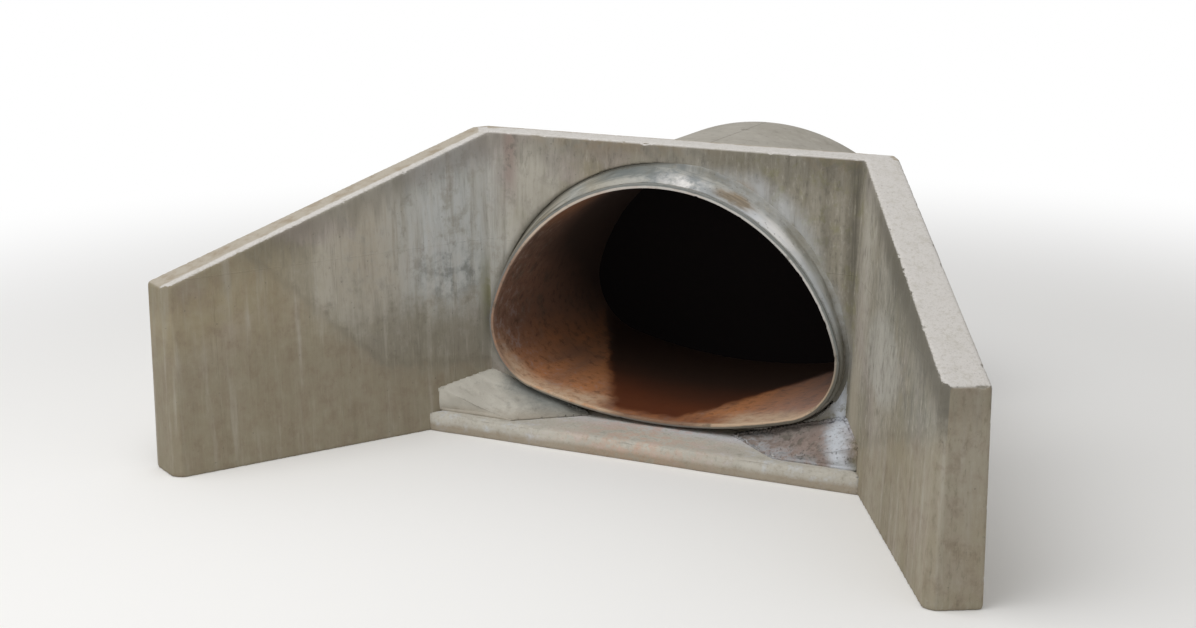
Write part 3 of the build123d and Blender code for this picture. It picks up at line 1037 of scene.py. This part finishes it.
def collar_finish(colours):
    """Mortar trowelled round the arch, with drag marks along it and a dark line at the wall, painted shade in
    the groove with dirt in the crack.
    """
    f = Finish("collar_mortar", colours)
    at = collar_readings(f)
    mortar = Coats(f, "mortar")
    lay_drag_marks(f, at, mortar)
    lay_collar_crown(f, at, mortar)
    # Painted shade in the groove between the wall and the mortar, with dirt in the crack.
    mortar.lay("grime_and_shade", f.noted("groove"), 0.9)
    lay_collar_right(f, at, mortar)
    holes = f.either(f.pits(15.0, 0.1), f.pits(29.0, 0.14, (2.0, 5.0, 0.0)))
    mortar.lay("grime_and_shade", holes, 0.45)
    height = f.maths("ADD", f.times(at.drag, 0.35), f.raised(f.times(at.grain, 0.15), at.mottle, 0.45))
    relief = f.relief(f.less(height, f.times(holes, 0.6)), 0.008)
    return f.wear(mortar.tone, f.band(at.mottle, 0.3, 0.7, 0.8, 0.95), relief)


def rough_packing(f, at):
    """The right packing: purple-brown and blotched, with lime down its slope and along its foot."""
    mottle, fine = at.mottle, at.fine
    rough = Coats(f, "packing")
    rough.lay("grime_and_shade", f.band(mottle, 0.48, 0.62), 0.7)
    rough.lay("face_pale", f.band(fine, 0.48, 0.7), 0.3)
    rough.lay("lime", f.band(f.swayed(at.z, mottle, 0.2), 0.29, 0.2), f.band(mottle, 0.4, 0.6), 0.5)
    down_slope = f.raised(f.swayed(f.swayed(at.x, mottle, 0.2), at.cloud, 0.2), at.y, 0.4)
    rough.lay("algae", f.band(down_slope, 1.76, 1.92), 0.4)
    rough.lay("lime", f.near(down_slope, 1.7, 0.19), f.band(fine, 0.3, 0.5, 0.6, 0.95))
    return rough.tone


def pale_packing(f, at):
    """The left packing: pale, with a little grime and earth along its foot."""
    pale = Coats(f, "ledge")
    pale.lay("face_pale", f.band(at.cloud, 0.45, 0.65), 0.6)
    pale.lay("grime_and_shade", f.band(at.mottle, 0.45, 0.3), 0.25)
    pale.lay("earth", f.band(f.swayed(at.z, at.mottle, 0.12), 0.27, 0.18), 0.4)
    return pale.tone


def packing_finish(colours):
    """Rough mortar packed under the pipe's haunches, pale on the left and blotched on the right, with painted
    shade under the lip.
    """
    f = Finish("haunch_mortar", colours)
    x, y, z = f.parts(f.place)
    mottle, fine = f.noise(9.0, 7, 0.68), f.noise(26.0, 6, 0.7, (3.0, 1.0, 0.0))
    cloud = f.noise(2.6, 4, 0.5, (8.0, 0.0, 3.0))
    at = SimpleNamespace(x=x, y=y, z=z, mottle=mottle, fine=fine, cloud=cloud)
    packing = Coats(f, pale_packing(f, at))
    packing.lay(rough_packing(f, at), f.band(x, -0.2, 0.2))
    # Painted shade under the pipe's lip, darker near the pipe.
    shade_under_lip = f.band(f.swayed(f.noted("ring"), mottle, 0.1), 0.16, 0.02)
    packing.lay("mortar_dark_and_shade", shade_under_lip, f.band(x, -0.2, 0.2, 0.85, 0.4))
    holes = f.either(f.pits(15.0, 0.15), f.pits(29.0, 0.2, (2.0, 5.0, 0.0)))
    holes = f.times(holes, f.band(x, -0.2, 0.2, 0.15, 1.0))
    packing.lay("grime_and_shade", holes, 0.4)
    grain = f.noise(90.0, 4, 0.7)
    height = f.maths("ADD", f.times(fine, 0.5), f.raised(f.times(grain, 0.2), mottle, 0.8))
    relief = f.relief(f.less(height, holes), 0.012)
    return f.wear(packing.tone, f.band(mottle, 0.3, 0.7, 0.8, 0.95), relief)


def plug_finish(colours):
    """Mortar struck off with a trowel in a lifting hole."""
    f = Finish("plug_mortar", colours)
    mottle = f.noise(30.0, 6, 0.66)
    grain = f.noise(160.0, 4, 0.7)
    plug = Coats(f, "mortar")
    plug.lay("mortar_dark_and_shade", f.band(mottle, 0.4, 0.65))
    plug.lay("earth", f.band(grain, 0.5, 0.7), 0.4)
    height = f.raised(f.times(grain, 0.3), mottle, 0.7)
    return f.wear(plug.tone, f.band(mottle, 0.3, 0.7, 0.82, 0.95), f.relief(height, 0.004))


def slab_finish(colours):
    """Worn pale concrete of the slab, with lime by the wall and rust before the pipe."""
    f = Finish("toe_concrete", colours)
    x, y, z = f.parts(f.place)
    mottle = f.noise(8.0, 8, 0.68)
    cloud = f.noise(1.6, 4, 0.5, (2.0, 5.0, 1.0))
    fine = f.noise(34.0, 6, 0.7, (6.0, 2.0, 0.0))
    grain = f.noise(70.0, 4, 0.7)
    slab = Coats(f, "ledge")
    slab.lay("face_pale", f.band(cloud, 0.42, 0.62), 0.5)
    slab.lay("lime", f.band(mottle, 0.5, 0.68), 0.5)
    slab.lay("lime", f.near(y, -0.24, 0.22), f.band(mottle, 0.34, 0.5), f.band(x, -0.2, 0.5, 0.5, 0.85))
    slab.lay("earth", f.band(fine, 0.5, 0.7), 0.35)
    slab.lay("rust", f.near(x, 0.0, 1.3), f.band(mottle, 0.42, 0.6), 0.35)
    slab.lay("face_dark", f.band(mottle, 0.45, 0.3), 0.4)
    slab.lay("earth", f.band(f.swayed(z, mottle, 0.06), 0.11, 0.05), 0.6)
    height = f.raised(f.raised(f.times(grain, 0.2), fine, 0.4), mottle, 0.6)
    return f.wear(slab.tone, f.band(mottle, 0.3, 0.7, 0.75, 0.95), f.relief(height, 0.01))


def seen_share(nodes, links):
    """1 for the rays that show a surface straight, in a mirror or through glass."""
    path = nodes.new("ShaderNodeLightPath")
    seen = path.outputs["Is Camera Ray"]
    for other in ("Is Glossy Ray", "Is Transmission Ray"):
        node = nodes.new("ShaderNodeMath")
        node.operation = "MAXIMUM"
        links.new(seen, node.inputs[0])
        links.new(path.outputs[other], node.inputs[1])
        seen = node.outputs[0]
    return seen


def mix_into(end, nodes, links, share, first, second):
    """Feeds the end with the first shader, and with the second where the share is 1."""
    mixed = nodes.new("ShaderNodeMixShader")
    for place, source in enumerate((share, first, second)):
        links.new(source, mixed.inputs[place])
    links.new(mixed.outputs[0], end)


def floor_finish(stage):
    """Pale floor that keeps the object's shadow and goes to white far off."""
    material = bpy.data.materials.new("plain_floor")
    material.use_nodes = True
    nodes, links = material.node_tree.nodes, material.node_tree.links
    shader = next(n for n in nodes if n.type == "BSDF_PRINCIPLED")
    shader.inputs["Base Color"].default_value = linear(stage.floor)
    shader.inputs["Roughness"].default_value = 0.9
    distance = nodes.new("ShaderNodeVectorMath")
    distance.operation = "LENGTH"
    links.new(nodes.new("ShaderNodeTexCoord").outputs["Object"], distance.inputs[0])
    fade = nodes.new("ShaderNodeMapRange")
    fade.interpolation_type = "SMOOTHSTEP"
    fade.inputs["From Min"].default_value = stage.fade_near
    fade.inputs["From Max"].default_value = stage.fade_far
    links.new(distance.outputs["Value"], fade.inputs["Value"])
    share = nodes.new("ShaderNodeMath")
    share.operation = "MULTIPLY"
    links.new(fade.outputs["Result"], share.inputs[0])
    links.new(seen_share(nodes, links), share.inputs[1])
    white = nodes.new("ShaderNodeEmission")
    white.inputs["Color"].default_value = (1.0, 1.0, 1.0, 1.0)
    white.inputs["Strength"].default_value = 1.0
    end = nodes["Material Output"].inputs["Surface"]
    mix_into(end, nodes, links, share.outputs[0], shader.outputs[0], white.outputs[0])
    return material


def shade_card_finish():
    """A black face that shows from the front only: painted shade for the bore's dark depth."""
    material = bpy.data.materials.new("shade_card")
    material.use_nodes = True
    nodes, links = material.node_tree.nodes, material.node_tree.links
    shader = next(n for n in nodes if n.type == "BSDF_PRINCIPLED")
    shader.inputs["Base Color"].default_value = (0.014, 0.012, 0.012, 1.0)
    shader.inputs["Roughness"].default_value = 1.0
    shader.inputs["Specular IOR Level"].default_value = 0.0
    clear = nodes.new("ShaderNodeBsdfTransparent")
    behind = nodes.new("ShaderNodeNewGeometry").outputs["Backfacing"]
    end = nodes["Material Output"].inputs["Surface"]
    mix_into(end, nodes, links, behind, shader.outputs[0], clear.outputs[0])
    return material


# Pieces


def wing_axes(sizes, side):
    """Unit vectors along a wing and behind it, in plan."""
    return (
        np.array([side * math.cos(sizes.flare), -math.sin(sizes.flare)]),
        np.array([side * math.sin(sizes.flare), math.cos(sizes.flare)]),
    )


def earth_line(run, along_wing, x, half):
    """The level up to which earth marks the walls, higher along the wings."""
    on_left = np.maximum(0.56 + 0.12 * along_wing, 0.75 + 0.95 * (along_wing - 1.3))
    on_right = 0.2 + 0.35 * along_wing
    between = 0.3 - 0.07 * x
    return np.where(run < -half, on_left, np.where(run > half, on_right, between))


def note_walls(mesh, sizes):
    """Notes where each point is: along the walls, below their tops, behind the face, above the earth line."""
    points = vertex_points(mesh)
    normals = vertex_normals(mesh)
    half = sizes.face_width / 2
    run, top = points[:, 0].copy(), np.full(len(points), sizes.height)
    offset = points[:, 1].copy()
    along_wing = np.zeros(len(points))
    for side in (-1, 1):
        along, away = wing_axes(sizes, side)
        on_wing = side * points[:, 0] > half + points[:, 1] * math.tan(sizes.flare / 2)
        reach = (points[:, :2] - (side * half, 0.0)) @ along
        run[on_wing] = side * (half + reach[on_wing])
        along_wing[on_wing] = reach[on_wing]
        offset[on_wing] = ((points[:, :2] - (side * half, 0.0)) @ away)[on_wing]
        top[on_wing] = sizes.height - sizes.wing_slope * np.maximum(reach[on_wing], 0.0)
    drop = top - points[:, 2]
    above = points[:, 2] - earth_line(run, along_wing, points[:, 0], half)
    # the back is bare only just below its top, and the wings' ends not at all
    back = normals[:, 1] > 0.25
    above[back] = 0.07 - drop[back]
    above[along_wing > sizes.wing_length - 0.012] = -0.6
    note(mesh, "run", run)
    note(mesh, "drop", drop)
    note(mesh, "behind", offset + sizes.batter * (sizes.height - points[:, 2]))
    note(mesh, "above_soil", above)
    note(mesh, "edge", distance_to_lines(points, wall_edges(sizes)))
    note(mesh, "ring", arch_gap(collar_arcs(sizes), points[:, 0], points[:, 2] - sizes.pipe_wall))


def wall_edges(sizes):
    """The walls' long edges: along their tops and down the wings' ends."""
    half, deep, high = sizes.face_width / 2, sizes.thickness, sizes.height
    mitre = math.tan(sizes.flare / 2)
    end_high = high - sizes.wing_slope * sizes.wing_length
    lean = sizes.batter * high
    lines = []
    for side in (-1, 1):
        along, behind = wing_axes(sizes, side)
        corner = np.array([side * half, 0.0])
        end = corner + along * sizes.wing_length
        back = end + behind * deep
        back_corner = np.array([side * (half + deep * mitre), deep])
        front_end = end - behind * sizes.batter * (high - end_high)
        lines.append(((*corner, high), (*front_end, end_high)))
        lines.append(((*back_corner, high), (*back, end_high)))
        lines.append(((*front_end, end_high), (*back, end_high)))
        lines.append(((*front_end, end_high), (*(end - behind * lean), 0.0)))
        lines.append(((*back, end_high), (*back, 0.0)))
    lines.append(((-half, 0.0, high), (half, 0.0, high)))
    wide = half + deep * mitre
    lines.append(((-wide, deep, high), (wide, deep, high)))
    return lines


def faces_between(joined, sizes):
    """The faces that the headwall and the wings turn to each other inside the wall."""
    hidden = []
    for side in (-1, 1):
        along, _ = wing_axes(sizes, side)
        for face in joined.faces:
            middle = face.calc_center_median()
            reach = (middle.x - side * sizes.face_width / 2) * along[0] + middle.y * along[1]
            square = abs(face.normal.x * along[0] + face.normal.y * along[1])
            if square > 0.999 and abs(reach - sizes.corner_return) < 0.002:
                hidden.append(face)
    return hidden


class HEADWALL_OT_cast_walls(bpy.types.Operator):
    """Casts the headwall and its two wings as one weathered wall"""

    bl_idname = "headwall.cast_walls"
    bl_label = "Cast Walls"

    def execute(self, context):
        sizes = context.scene.headwall_sizes
        joined = joined_solids(*WALL_NODES)
        hidden = faces_between(joined, sizes)
        if not hidden:
            raise RuntimeError("the faces between the headwall and the wings weren't found")
        bmesh.ops.delete(joined, geom=hidden, context="FACES")
        mesh = recast(kept_mesh("cast_walls_solid", joined), sizes.voxel)
        points, normals = vertex_points(mesh), vertex_normals(mesh)
        depth = 0.002 * (1 + lumps(points, 0.8, 3)) + 0.0005 * (1 + lumps(points, 0.12, 4))
        close = distance_to_lines(points, wall_edges(sizes))
        chips = smooth(0.4, 0.95, lumps(points, 0.07, 5) + 0.4 * lumps(points, 0.03, 6))
        depth += sizes.chip * chips * smooth(0.05, 0.0, close)
        sink_points(mesh, points, normals, depth)
        mesh = thinned(mesh, WALL_TRIANGLES)
        mesh.name = "cast_walls"
        note_walls(mesh, sizes)
        dress(mesh, wall_finish(context.scene.headwall_colours))
        new_piece("cast_walls", mesh, "wall_concrete", *WALL_NODES)
        return {"FINISHED"}


def section_profile(sizes):
    """The pipe section's cut, as distances along the pipe and growths outside the bore."""
    front = sizes.shoulder
    tail = front + sizes.laying_length
    groove_floor = tail - sizes.tongue - sizes.joint_gap
    clear = sizes.joint_clearance
    return [
        (front - sizes.tongue, 0.0),
        (groove_floor, 0.0),
        (groove_floor, sizes.tongue_tip + clear),
        (tail, sizes.tongue_root + clear),
        (tail, sizes.pipe_wall),
        (front, sizes.pipe_wall),
        (front, sizes.tongue_root),
        (front - sizes.tongue, sizes.tongue_tip),
    ]


def lift_places(sizes):
    """Distances along the pipe of the two lifting holes."""
    shares = (sizes.lift_place, 1 - sizes.lift_place)
    return [sizes.shoulder + sizes.laying_length * share for share in shares]


class HEADWALL_OT_arch_pipe(bpy.types.Operator):
    """Builds the arch pipe's end section, with its tongue, groove, chipped lip and lifting holes"""

    bl_idname = "headwall.arch_pipe"
    bl_label = "Arch Pipe"

    def execute(self, context):
        sizes = context.scene.headwall_sizes
        arcs = bore_arcs(sizes)
        close = np.arange(-0.06, 0.0601, 0.005)
        extra = [place + step for place in lift_places(sizes) for step in close]
        profile = rounded_profile(section_profile(sizes), 0.009, 0.055, extra)
        outer_radius = arcs["crown_radius"] + sizes.pipe_wall
        turns = np.concatenate([even_turns(arcs, BORE_POINTS), math.pi / 2 + close / outer_radius])
        turns = np.unique(np.round(turns, 5))
        rows = []
        for distance, growth in profile:
            x, z = arch_points(arcs, turns, growth)
            rows.append(np.stack([x, np.full(len(turns), distance), z + sizes.pipe_wall], axis=1))
        mesh = sheet_mesh("arch_pipe", rows, True, True)
        face_outwards(mesh)
        points, normals = vertex_points(mesh), vertex_normals(mesh)
        growth = np.repeat(profile[:, 1], len(turns))
        along = np.repeat(profile[:, 0], len(turns))
        on_lip = smooth(0.02, 0.004, along - sizes.shoulder + sizes.tongue)
        depth = 0.0012 * (1 + lumps(points, 0.4, 11))
        chips = smooth(0.45, 0.95, lumps(points, 0.06, 12) + 0.5 * lumps(points, 0.025, 13))
        depth += 0.009 * chips * on_lip
        outside = smooth(sizes.pipe_wall - 0.004, sizes.pipe_wall - 0.001, growth)
        for place in lift_places(sizes):
            from_hole = np.hypot(points[:, 0], points[:, 1] - place)
            hollow = smooth(sizes.lift_hole / 2 + 0.003, sizes.lift_hole / 2 - 0.001, from_hole)
            depth += (sizes.plug_recess + 0.014) * hollow * outside * (points[:, 2] > sizes.height / 2)
        sink_points(mesh, points, normals, depth)
        note(mesh, "inside", smooth(0.012, 0.002, growth))
        note(mesh, "growth", growth)
        note(mesh, "lip", on_lip)
        note(mesh, "girth", (np.tile(turns, len(profile)) + math.pi / 2) / (2 * math.pi))
        mesh.materials.append(pipe_finish(context.scene.headwall_colours, sizes))
        new_piece("arch_pipe", mesh, "pipe_concrete", "pipe_end_section")
        return {"FINISHED"}


class HEADWALL_OT_lift_hole_plugs(bpy.types.Operator):
    """Strikes off the mortar in the lifting holes"""

    bl_idname = "headwall.lift_hole_plugs"
    bl_label = "Lifting Hole Plugs"

    def execute(self, context):
        sizes = context.scene.headwall_sizes
        finish = plug_finish(context.scene.headwall_colours)
        for seed, end in ((61, "front"), (63, "back")):
            node = f"{end}_lift_hole_plug"
            mesh = recast(kept_mesh(f"{end}_struck_plug", joined_solids(node)), sizes.plug_voxel)
            points, normals = vertex_points(mesh), vertex_normals(mesh)
            depth = 0.001 * (1 + lumps(points, 0.02, seed)) + 0.0008 * (1 + lumps(points, 0.009, seed + 1))
            sink_points(mesh, points, normals, depth)
            dress(mesh, finish)
            new_piece(f"{end}_struck_plug", mesh, "mortar", node)
        return {"FINISHED"}


def collar_rows(sizes, turns, smeared, wobble):
    """Rows of points from the wall to the lip, each with its share of the groove's painted shade and share of
    the way.
    """
    arcs, edge = bore_arcs(sizes), collar_arcs(sizes)
    made = []
    for (left_growth, left_out), (right_growth, right_out) in zip(COLLAR_GROOVE, COLLAR_FEATHER):
        growth = left_growth + (right_growth * (1 + 0.5 * wobble) - left_growth) * smeared
        out = left_out + (right_out - left_out) * smeared
        x, z = arch_points(edge, turns, growth)
        z = z + sizes.pipe_wall
        row = np.stack([x, -sizes.batter * (sizes.height - z) - out, z], axis=1)
        made.append((row, 0.8 if left_out < -0.003 else 0.25, 0.0))
    start = row
    reach = -sizes.collar_proud + 0.009 * wobble
    tip = sizes.shoulder - sizes.tongue
    thick = sizes.tongue_tip + (sizes.tongue_root - sizes.tongue_tip) * (reach - tip) / sizes.tongue
    x, z = arch_points(arcs, turns, thick + 0.006)
    end = np.stack([x, reach, z + sizes.pipe_wall], axis=1)
    x_flat, z_flat = arch_points(edge, turns, 0.0)
    for step in range(1, COLLAR_STEPS + 1):
        share = step / COLLAR_STEPS
        crowned = 0.01 * math.sin(math.pi * share)
        x_out, z_out = arch_points(edge, turns, crowned)
        bulge = np.stack([x_out - x_flat, turns * 0 - crowned, z_out - z_flat], axis=1)
        made.append((start + (end - start) * share + bulge, 0.2 * max(0.0, 1 - share * 5), share))
    for inset, back in ((0.002, 0.0), (-0.004, 0.004), (-0.006, 0.05)):
        x, z = arch_points(arcs, turns, thick + inset)
        made.append((np.stack([x, reach + back, z + sizes.pipe_wall], axis=1), 0.0, 1.0))
    return made


class HEADWALL_OT_mortar_collar(bpy.types.Operator):
    """Trowels the mortar band between the headwall and the pipe's lip"""

    bl_idname = "headwall.mortar_collar"
    bl_label = "Mortar Collar"

    def execute(self, context):
        sizes = context.scene.headwall_sizes
        edge = collar_arcs(sizes)
        turns = even_turns(edge, COLLAR_POINTS)
        _, level = arch_points(edge, turns, 0.0)
        turns = turns[level + sizes.pipe_wall > sizes.collar_foot]
        smeared = smooth(math.radians(100), math.radians(78), turns)
        wobble = lumps(np.stack([turns * 6, turns * 0, turns * 0], axis=1), 1.0, 21)
        wobble += 0.5 * lumps(np.stack([turns * 22, turns * 0, turns * 0], axis=1), 1.0, 22)
        rows, groove_shade_shares, shares = zip(*collar_rows(sizes, turns, smeared, wobble))
        mesh = sheet_mesh("trowelled_collar", rows, False, False)
        points, normals = vertex_points(mesh), vertex_normals(mesh)
        if normals[len(turns) * 20 + len(turns) // 2, 1] > 0:
            mesh.flip_normals()
            normals = -normals
        start = rows[len(COLLAR_GROOVE) - 1]
        girth = np.concatenate([[0.0], np.cumsum(np.linalg.norm(np.diff(start, axis=0), axis=1))])
        girth = np.tile(girth, len(rows))
        share = np.repeat(shares, len(turns))
        inner = np.repeat(np.arange(len(rows)), len(turns))
        loose = smooth(4, 9, inner) * smooth(len(rows) - 1, len(rows) - 6, inner)
        swept = np.stack([girth, share * 0.9, share * 0], axis=1)
        lift = 0.004 * lumps(swept, 0.3, 23) + 0.0016 * lumps(swept * (1.0, 2.0, 1.0), 0.16, 24)
        lift -= 0.008 * smooth(0.6, 0.95, lumps(points, 0.035, 25)) * smooth(0.1, 0.5, lumps(points, 0.4, 26))
        move_points(mesh, points + normals * (lift * loose)[:, None])
        # the groove's painted shade, on the left of the smear
        note(mesh, "groove", np.concatenate([weight * (1 - smeared) for weight in groove_shade_shares]))
        note(mesh, "share", share)
        note(mesh, "girth", girth)
        mesh.materials.append(collar_finish(context.scene.headwall_colours))
        new_piece("trowelled_collar", mesh, "mortar", "mortar_collar")
        return {"FINISHED"}


class HEADWALL_OT_haunch_mortar(bpy.types.Operator):
    """Packs rough mortar into the corners under the pipe's haunches"""

    bl_idname = "headwall.haunch_mortar"
    bl_label = "Haunch Mortar"

    def execute(self, context):
        sizes = context.scene.headwall_sizes
        finish = packing_finish(context.scene.headwall_colours)
        for seed, side, rough in ((31, "left", 0.5), (41, "right", 1.0)):
            node = f"{side}_haunch_mortar"
            mesh = recast(kept_mesh(f"{side}_haunch_packing", joined_solids(node)), sizes.packing_voxel)
            points, normals = vertex_points(mesh), vertex_normals(mesh)
            depth = 0.02 * (1 + lumps(points, 0.22, seed)) + 0.008 * (1 + lumps(points, 0.07, seed + 1))
            depth += 0.02 * smooth(0.2, 0.8, lumps(points, 0.1, seed + 2))
            exposed = np.maximum(smooth(0.3, 0.7, normals[:, 2]), smooth(0.4, 0.8, -normals[:, 1]))
            depth += 0.05 * smooth(0.0, 0.8, lumps(points, 0.3, seed + 3)) * smooth(0.45, 0.2, points[:, 2])
            lift = 0.012 * (1 - exposed) - rough * depth * exposed
            raise_points(mesh, points, normals, lift)
            mesh = thinned(mesh, PACKING_TRIANGLES)
            points = vertex_points(mesh)
            gap = arch_gap(bore_arcs(sizes), points[:, 0], points[:, 2] - sizes.pipe_wall)
            note(mesh, "ring", gap - sizes.tongue_root)
            dress(mesh, finish)
            new_piece(f"{side}_haunch_packing", mesh, "mortar", node)
        return {"FINISHED"}


class HEADWALL_OT_toe_slab(bpy.types.Operator):
    """Casts the water-worn slab at the foot of the wall"""

    bl_idname = "headwall.toe_slab"
    bl_label = "Toe Slab"

    def execute(self, context):
        sizes = context.scene.headwall_sizes
        mesh = recast(kept_mesh("worn_toe_slab", joined_solids("toe_slab")), sizes.slab_voxel)
        points, normals = vertex_points(mesh), vertex_normals(mesh)
        depth = 0.004 * (1 + lumps(points, 0.3, 51)) + 0.002 * (1 + lumps(points, 0.05, 52))
        low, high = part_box("toe_slab")
        arris = np.hypot(points[:, 1] - low.y, points[:, 2] - high.z)
        depth += smooth(0.07, 0.0, arris) * (0.012 + 0.03 * smooth(0.0, 0.8, lumps(points, 0.12, 53)))
        exposed = np.maximum(smooth(0.2, 0.6, normals[:, 2]), smooth(0.2, 0.6, -normals[:, 1]))
        lift = 0.012 * (1 - exposed) - depth * exposed
        raise_points(mesh, points, normals, lift)
        mesh = thinned(mesh, SLAB_TRIANGLES)
        dress(mesh, slab_finish(context.scene.headwall_colours))
        new_piece("worn_toe_slab", mesh, "wall_concrete", "toe_slab")
        return {"FINISHED"}


def set_floor(scene, stage):
    floor_mesh = bpy.data.meshes.new("floor")
    disc = bmesh.new()
    bmesh.ops.create_circle(disc, cap_ends=True, segments=96, radius=stage.floor_radius)
    disc.to_mesh(floor_mesh)
    disc.free()
    floor_mesh.materials.append(floor_finish(stage))
    floor = bpy.data.objects.new("floor", floor_mesh)
    scene.collection.objects.link(floor)


def set_shade_card(scene, stage, sizes):
    """A black card across the bore, painted shade for its dark depth, that shows from the front only."""
    arcs = bore_arcs(sizes)
    x, z = arch_points(arcs, even_turns(arcs, 120), 0.02)
    depth = sizes.shoulder + sizes.laying_length - stage.card_depth
    card_mesh = bpy.data.meshes.new("bore_shade_card")
    rim = [(across, depth, up + sizes.pipe_wall) for across, up in zip(x.tolist(), z.tolist())]
    card_mesh.from_pydata(rim, [], [tuple(range(len(rim)))])
    card_mesh.materials.append(shade_card_finish())
    if card_mesh.polygons[0].normal.y > 0:
        card_mesh.flip_normals()
    card = bpy.data.objects.new("bore_shade_card", card_mesh)
    scene.collection.objects.link(card)


def set_sky(scene, stage):
    """Even light from all round, white where the camera sees it."""
    world = bpy.data.worlds.new("even_sky")
    world.use_nodes = True
    nodes, links = world.node_tree.nodes, world.node_tree.links
    sky, white = nodes["Background"], nodes.new("ShaderNodeBackground")
    for background, strength in ((sky, stage.sky), (white, 1.0)):
        background.inputs["Color"].default_value = (1.0, 1.0, 1.0, 1.0)
        background.inputs["Strength"].default_value = strength
    end = nodes["World Output"].inputs["Surface"]
    mix_into(end, nodes, links, seen_share(nodes, links), sky.outputs[0], white.outputs[0])
    scene.world = world


def set_lamp(scene, stage):
    """A wide soft lamp overhead, turned to the foot of the wall."""
    light = bpy.data.lights.new("soft_lamp", "AREA")
    light.shape = "DISK"
    light.size = stage.lamp_size
    light.energy = stage.lamp
    lamp = bpy.data.objects.new("soft_lamp", light)
    lamp.location = stage.lamp_place
    lamp.rotation_euler = (Vector((0.0, 0.0, 0.5)) - lamp.location).to_track_quat("-Z", "Y").to_euler()
    lamp.visible_camera = False
    scene.collection.objects.link(lamp)


def set_camera(scene, stage):
    """The camera as it was fitted to the photograph."""
    azimuth, pitch, roll = stage.azimuth, stage.pitch, stage.roll
    ahead = Vector(
        (-math.sin(azimuth) * math.cos(pitch), math.cos(azimuth) * math.cos(pitch), -math.sin(pitch))
    )
    level = ahead.cross(Vector((0, 0, 1))).normalized()
    above = level.cross(ahead)
    right = math.cos(roll) * level + math.sin(roll) * above
    above = -math.sin(roll) * level + math.cos(roll) * above
    lens = bpy.data.cameras.new("camera")
    lens.sensor_width = 36.0
    lens.lens = lens.sensor_width * stage.focal_pixels / PHOTO_WIDTH
    lens.shift_y = -stage.rise_pixels / PHOTO_WIDTH
    lens.clip_end = 600.0
    camera = bpy.data.objects.new("camera", lens)
    turn = Matrix((right, above, -ahead)).transposed()
    camera.matrix_world = Matrix.Translation(stage.place) @ turn.to_4x4()
    scene.collection.objects.link(camera)
    scene.camera = camera


class HEADWALL_OT_stage(bpy.types.Operator):
    """Sets the floor, the black card of painted shade in the bore, the soft light and the camera"""

    bl_idname = "headwall.stage"
    bl_label = "Stage"

    def execute(self, context):
        scene, stage = context.scene, context.scene.headwall_stage
        set_floor(scene, stage)
        set_shade_card(scene, stage, scene.headwall_sizes)
        set_sky(scene, stage)
        set_lamp(scene, stage)
        set_camera(scene, stage)
        scene.view_settings.view_transform = "Standard"
        return {"FINISHED"}


STEPS = (
    HEADWALL_OT_stage,
    HEADWALL_OT_cast_walls,
    HEADWALL_OT_arch_pipe,
    HEADWALL_OT_lift_hole_plugs,
    HEADWALL_OT_mortar_collar,
    HEADWALL_OT_haunch_mortar,
    HEADWALL_OT_toe_slab,
)


class HEADWALL_PT_steps(bpy.types.Panel):
    """Lists the headwall's pieces in the order in which they are made"""

    bl_label = "Headwall"
    bl_idname = "HEADWALL_PT_steps"
    bl_space_type = "VIEW_3D"
    bl_region_type = "UI"
    bl_category = "Headwall"

    def draw(self, context):
        for step in STEPS:
            self.layout.operator(step.bl_idname)


GROUPS = (HeadwallSizes, HeadwallColours, HeadwallStage)


def register():
    for group in (*GROUPS, *STEPS, HEADWALL_PT_steps):
        bpy.utils.register_class(group)
    bpy.types.Scene.headwall_sizes = PointerProperty(type=HeadwallSizes)
    bpy.types.Scene.headwall_colours = PointerProperty(type=HeadwallColours)
    bpy.types.Scene.headwall_stage = PointerProperty(type=HeadwallStage)


def unregister():
    del bpy.types.Scene.headwall_stage
    del bpy.types.Scene.headwall_colours
    del bpy.types.Scene.headwall_sizes
    for group in (HEADWALL_PT_steps, *reversed(STEPS), *reversed(GROUPS)):
        bpy.utils.unregister_class(group)


def main():
    register()
    for step in STEPS:
        group, name = step.bl_idname.split(".")
        getattr(getattr(bpy.ops, group), name)()


if __name__ == "__main__":
    main()
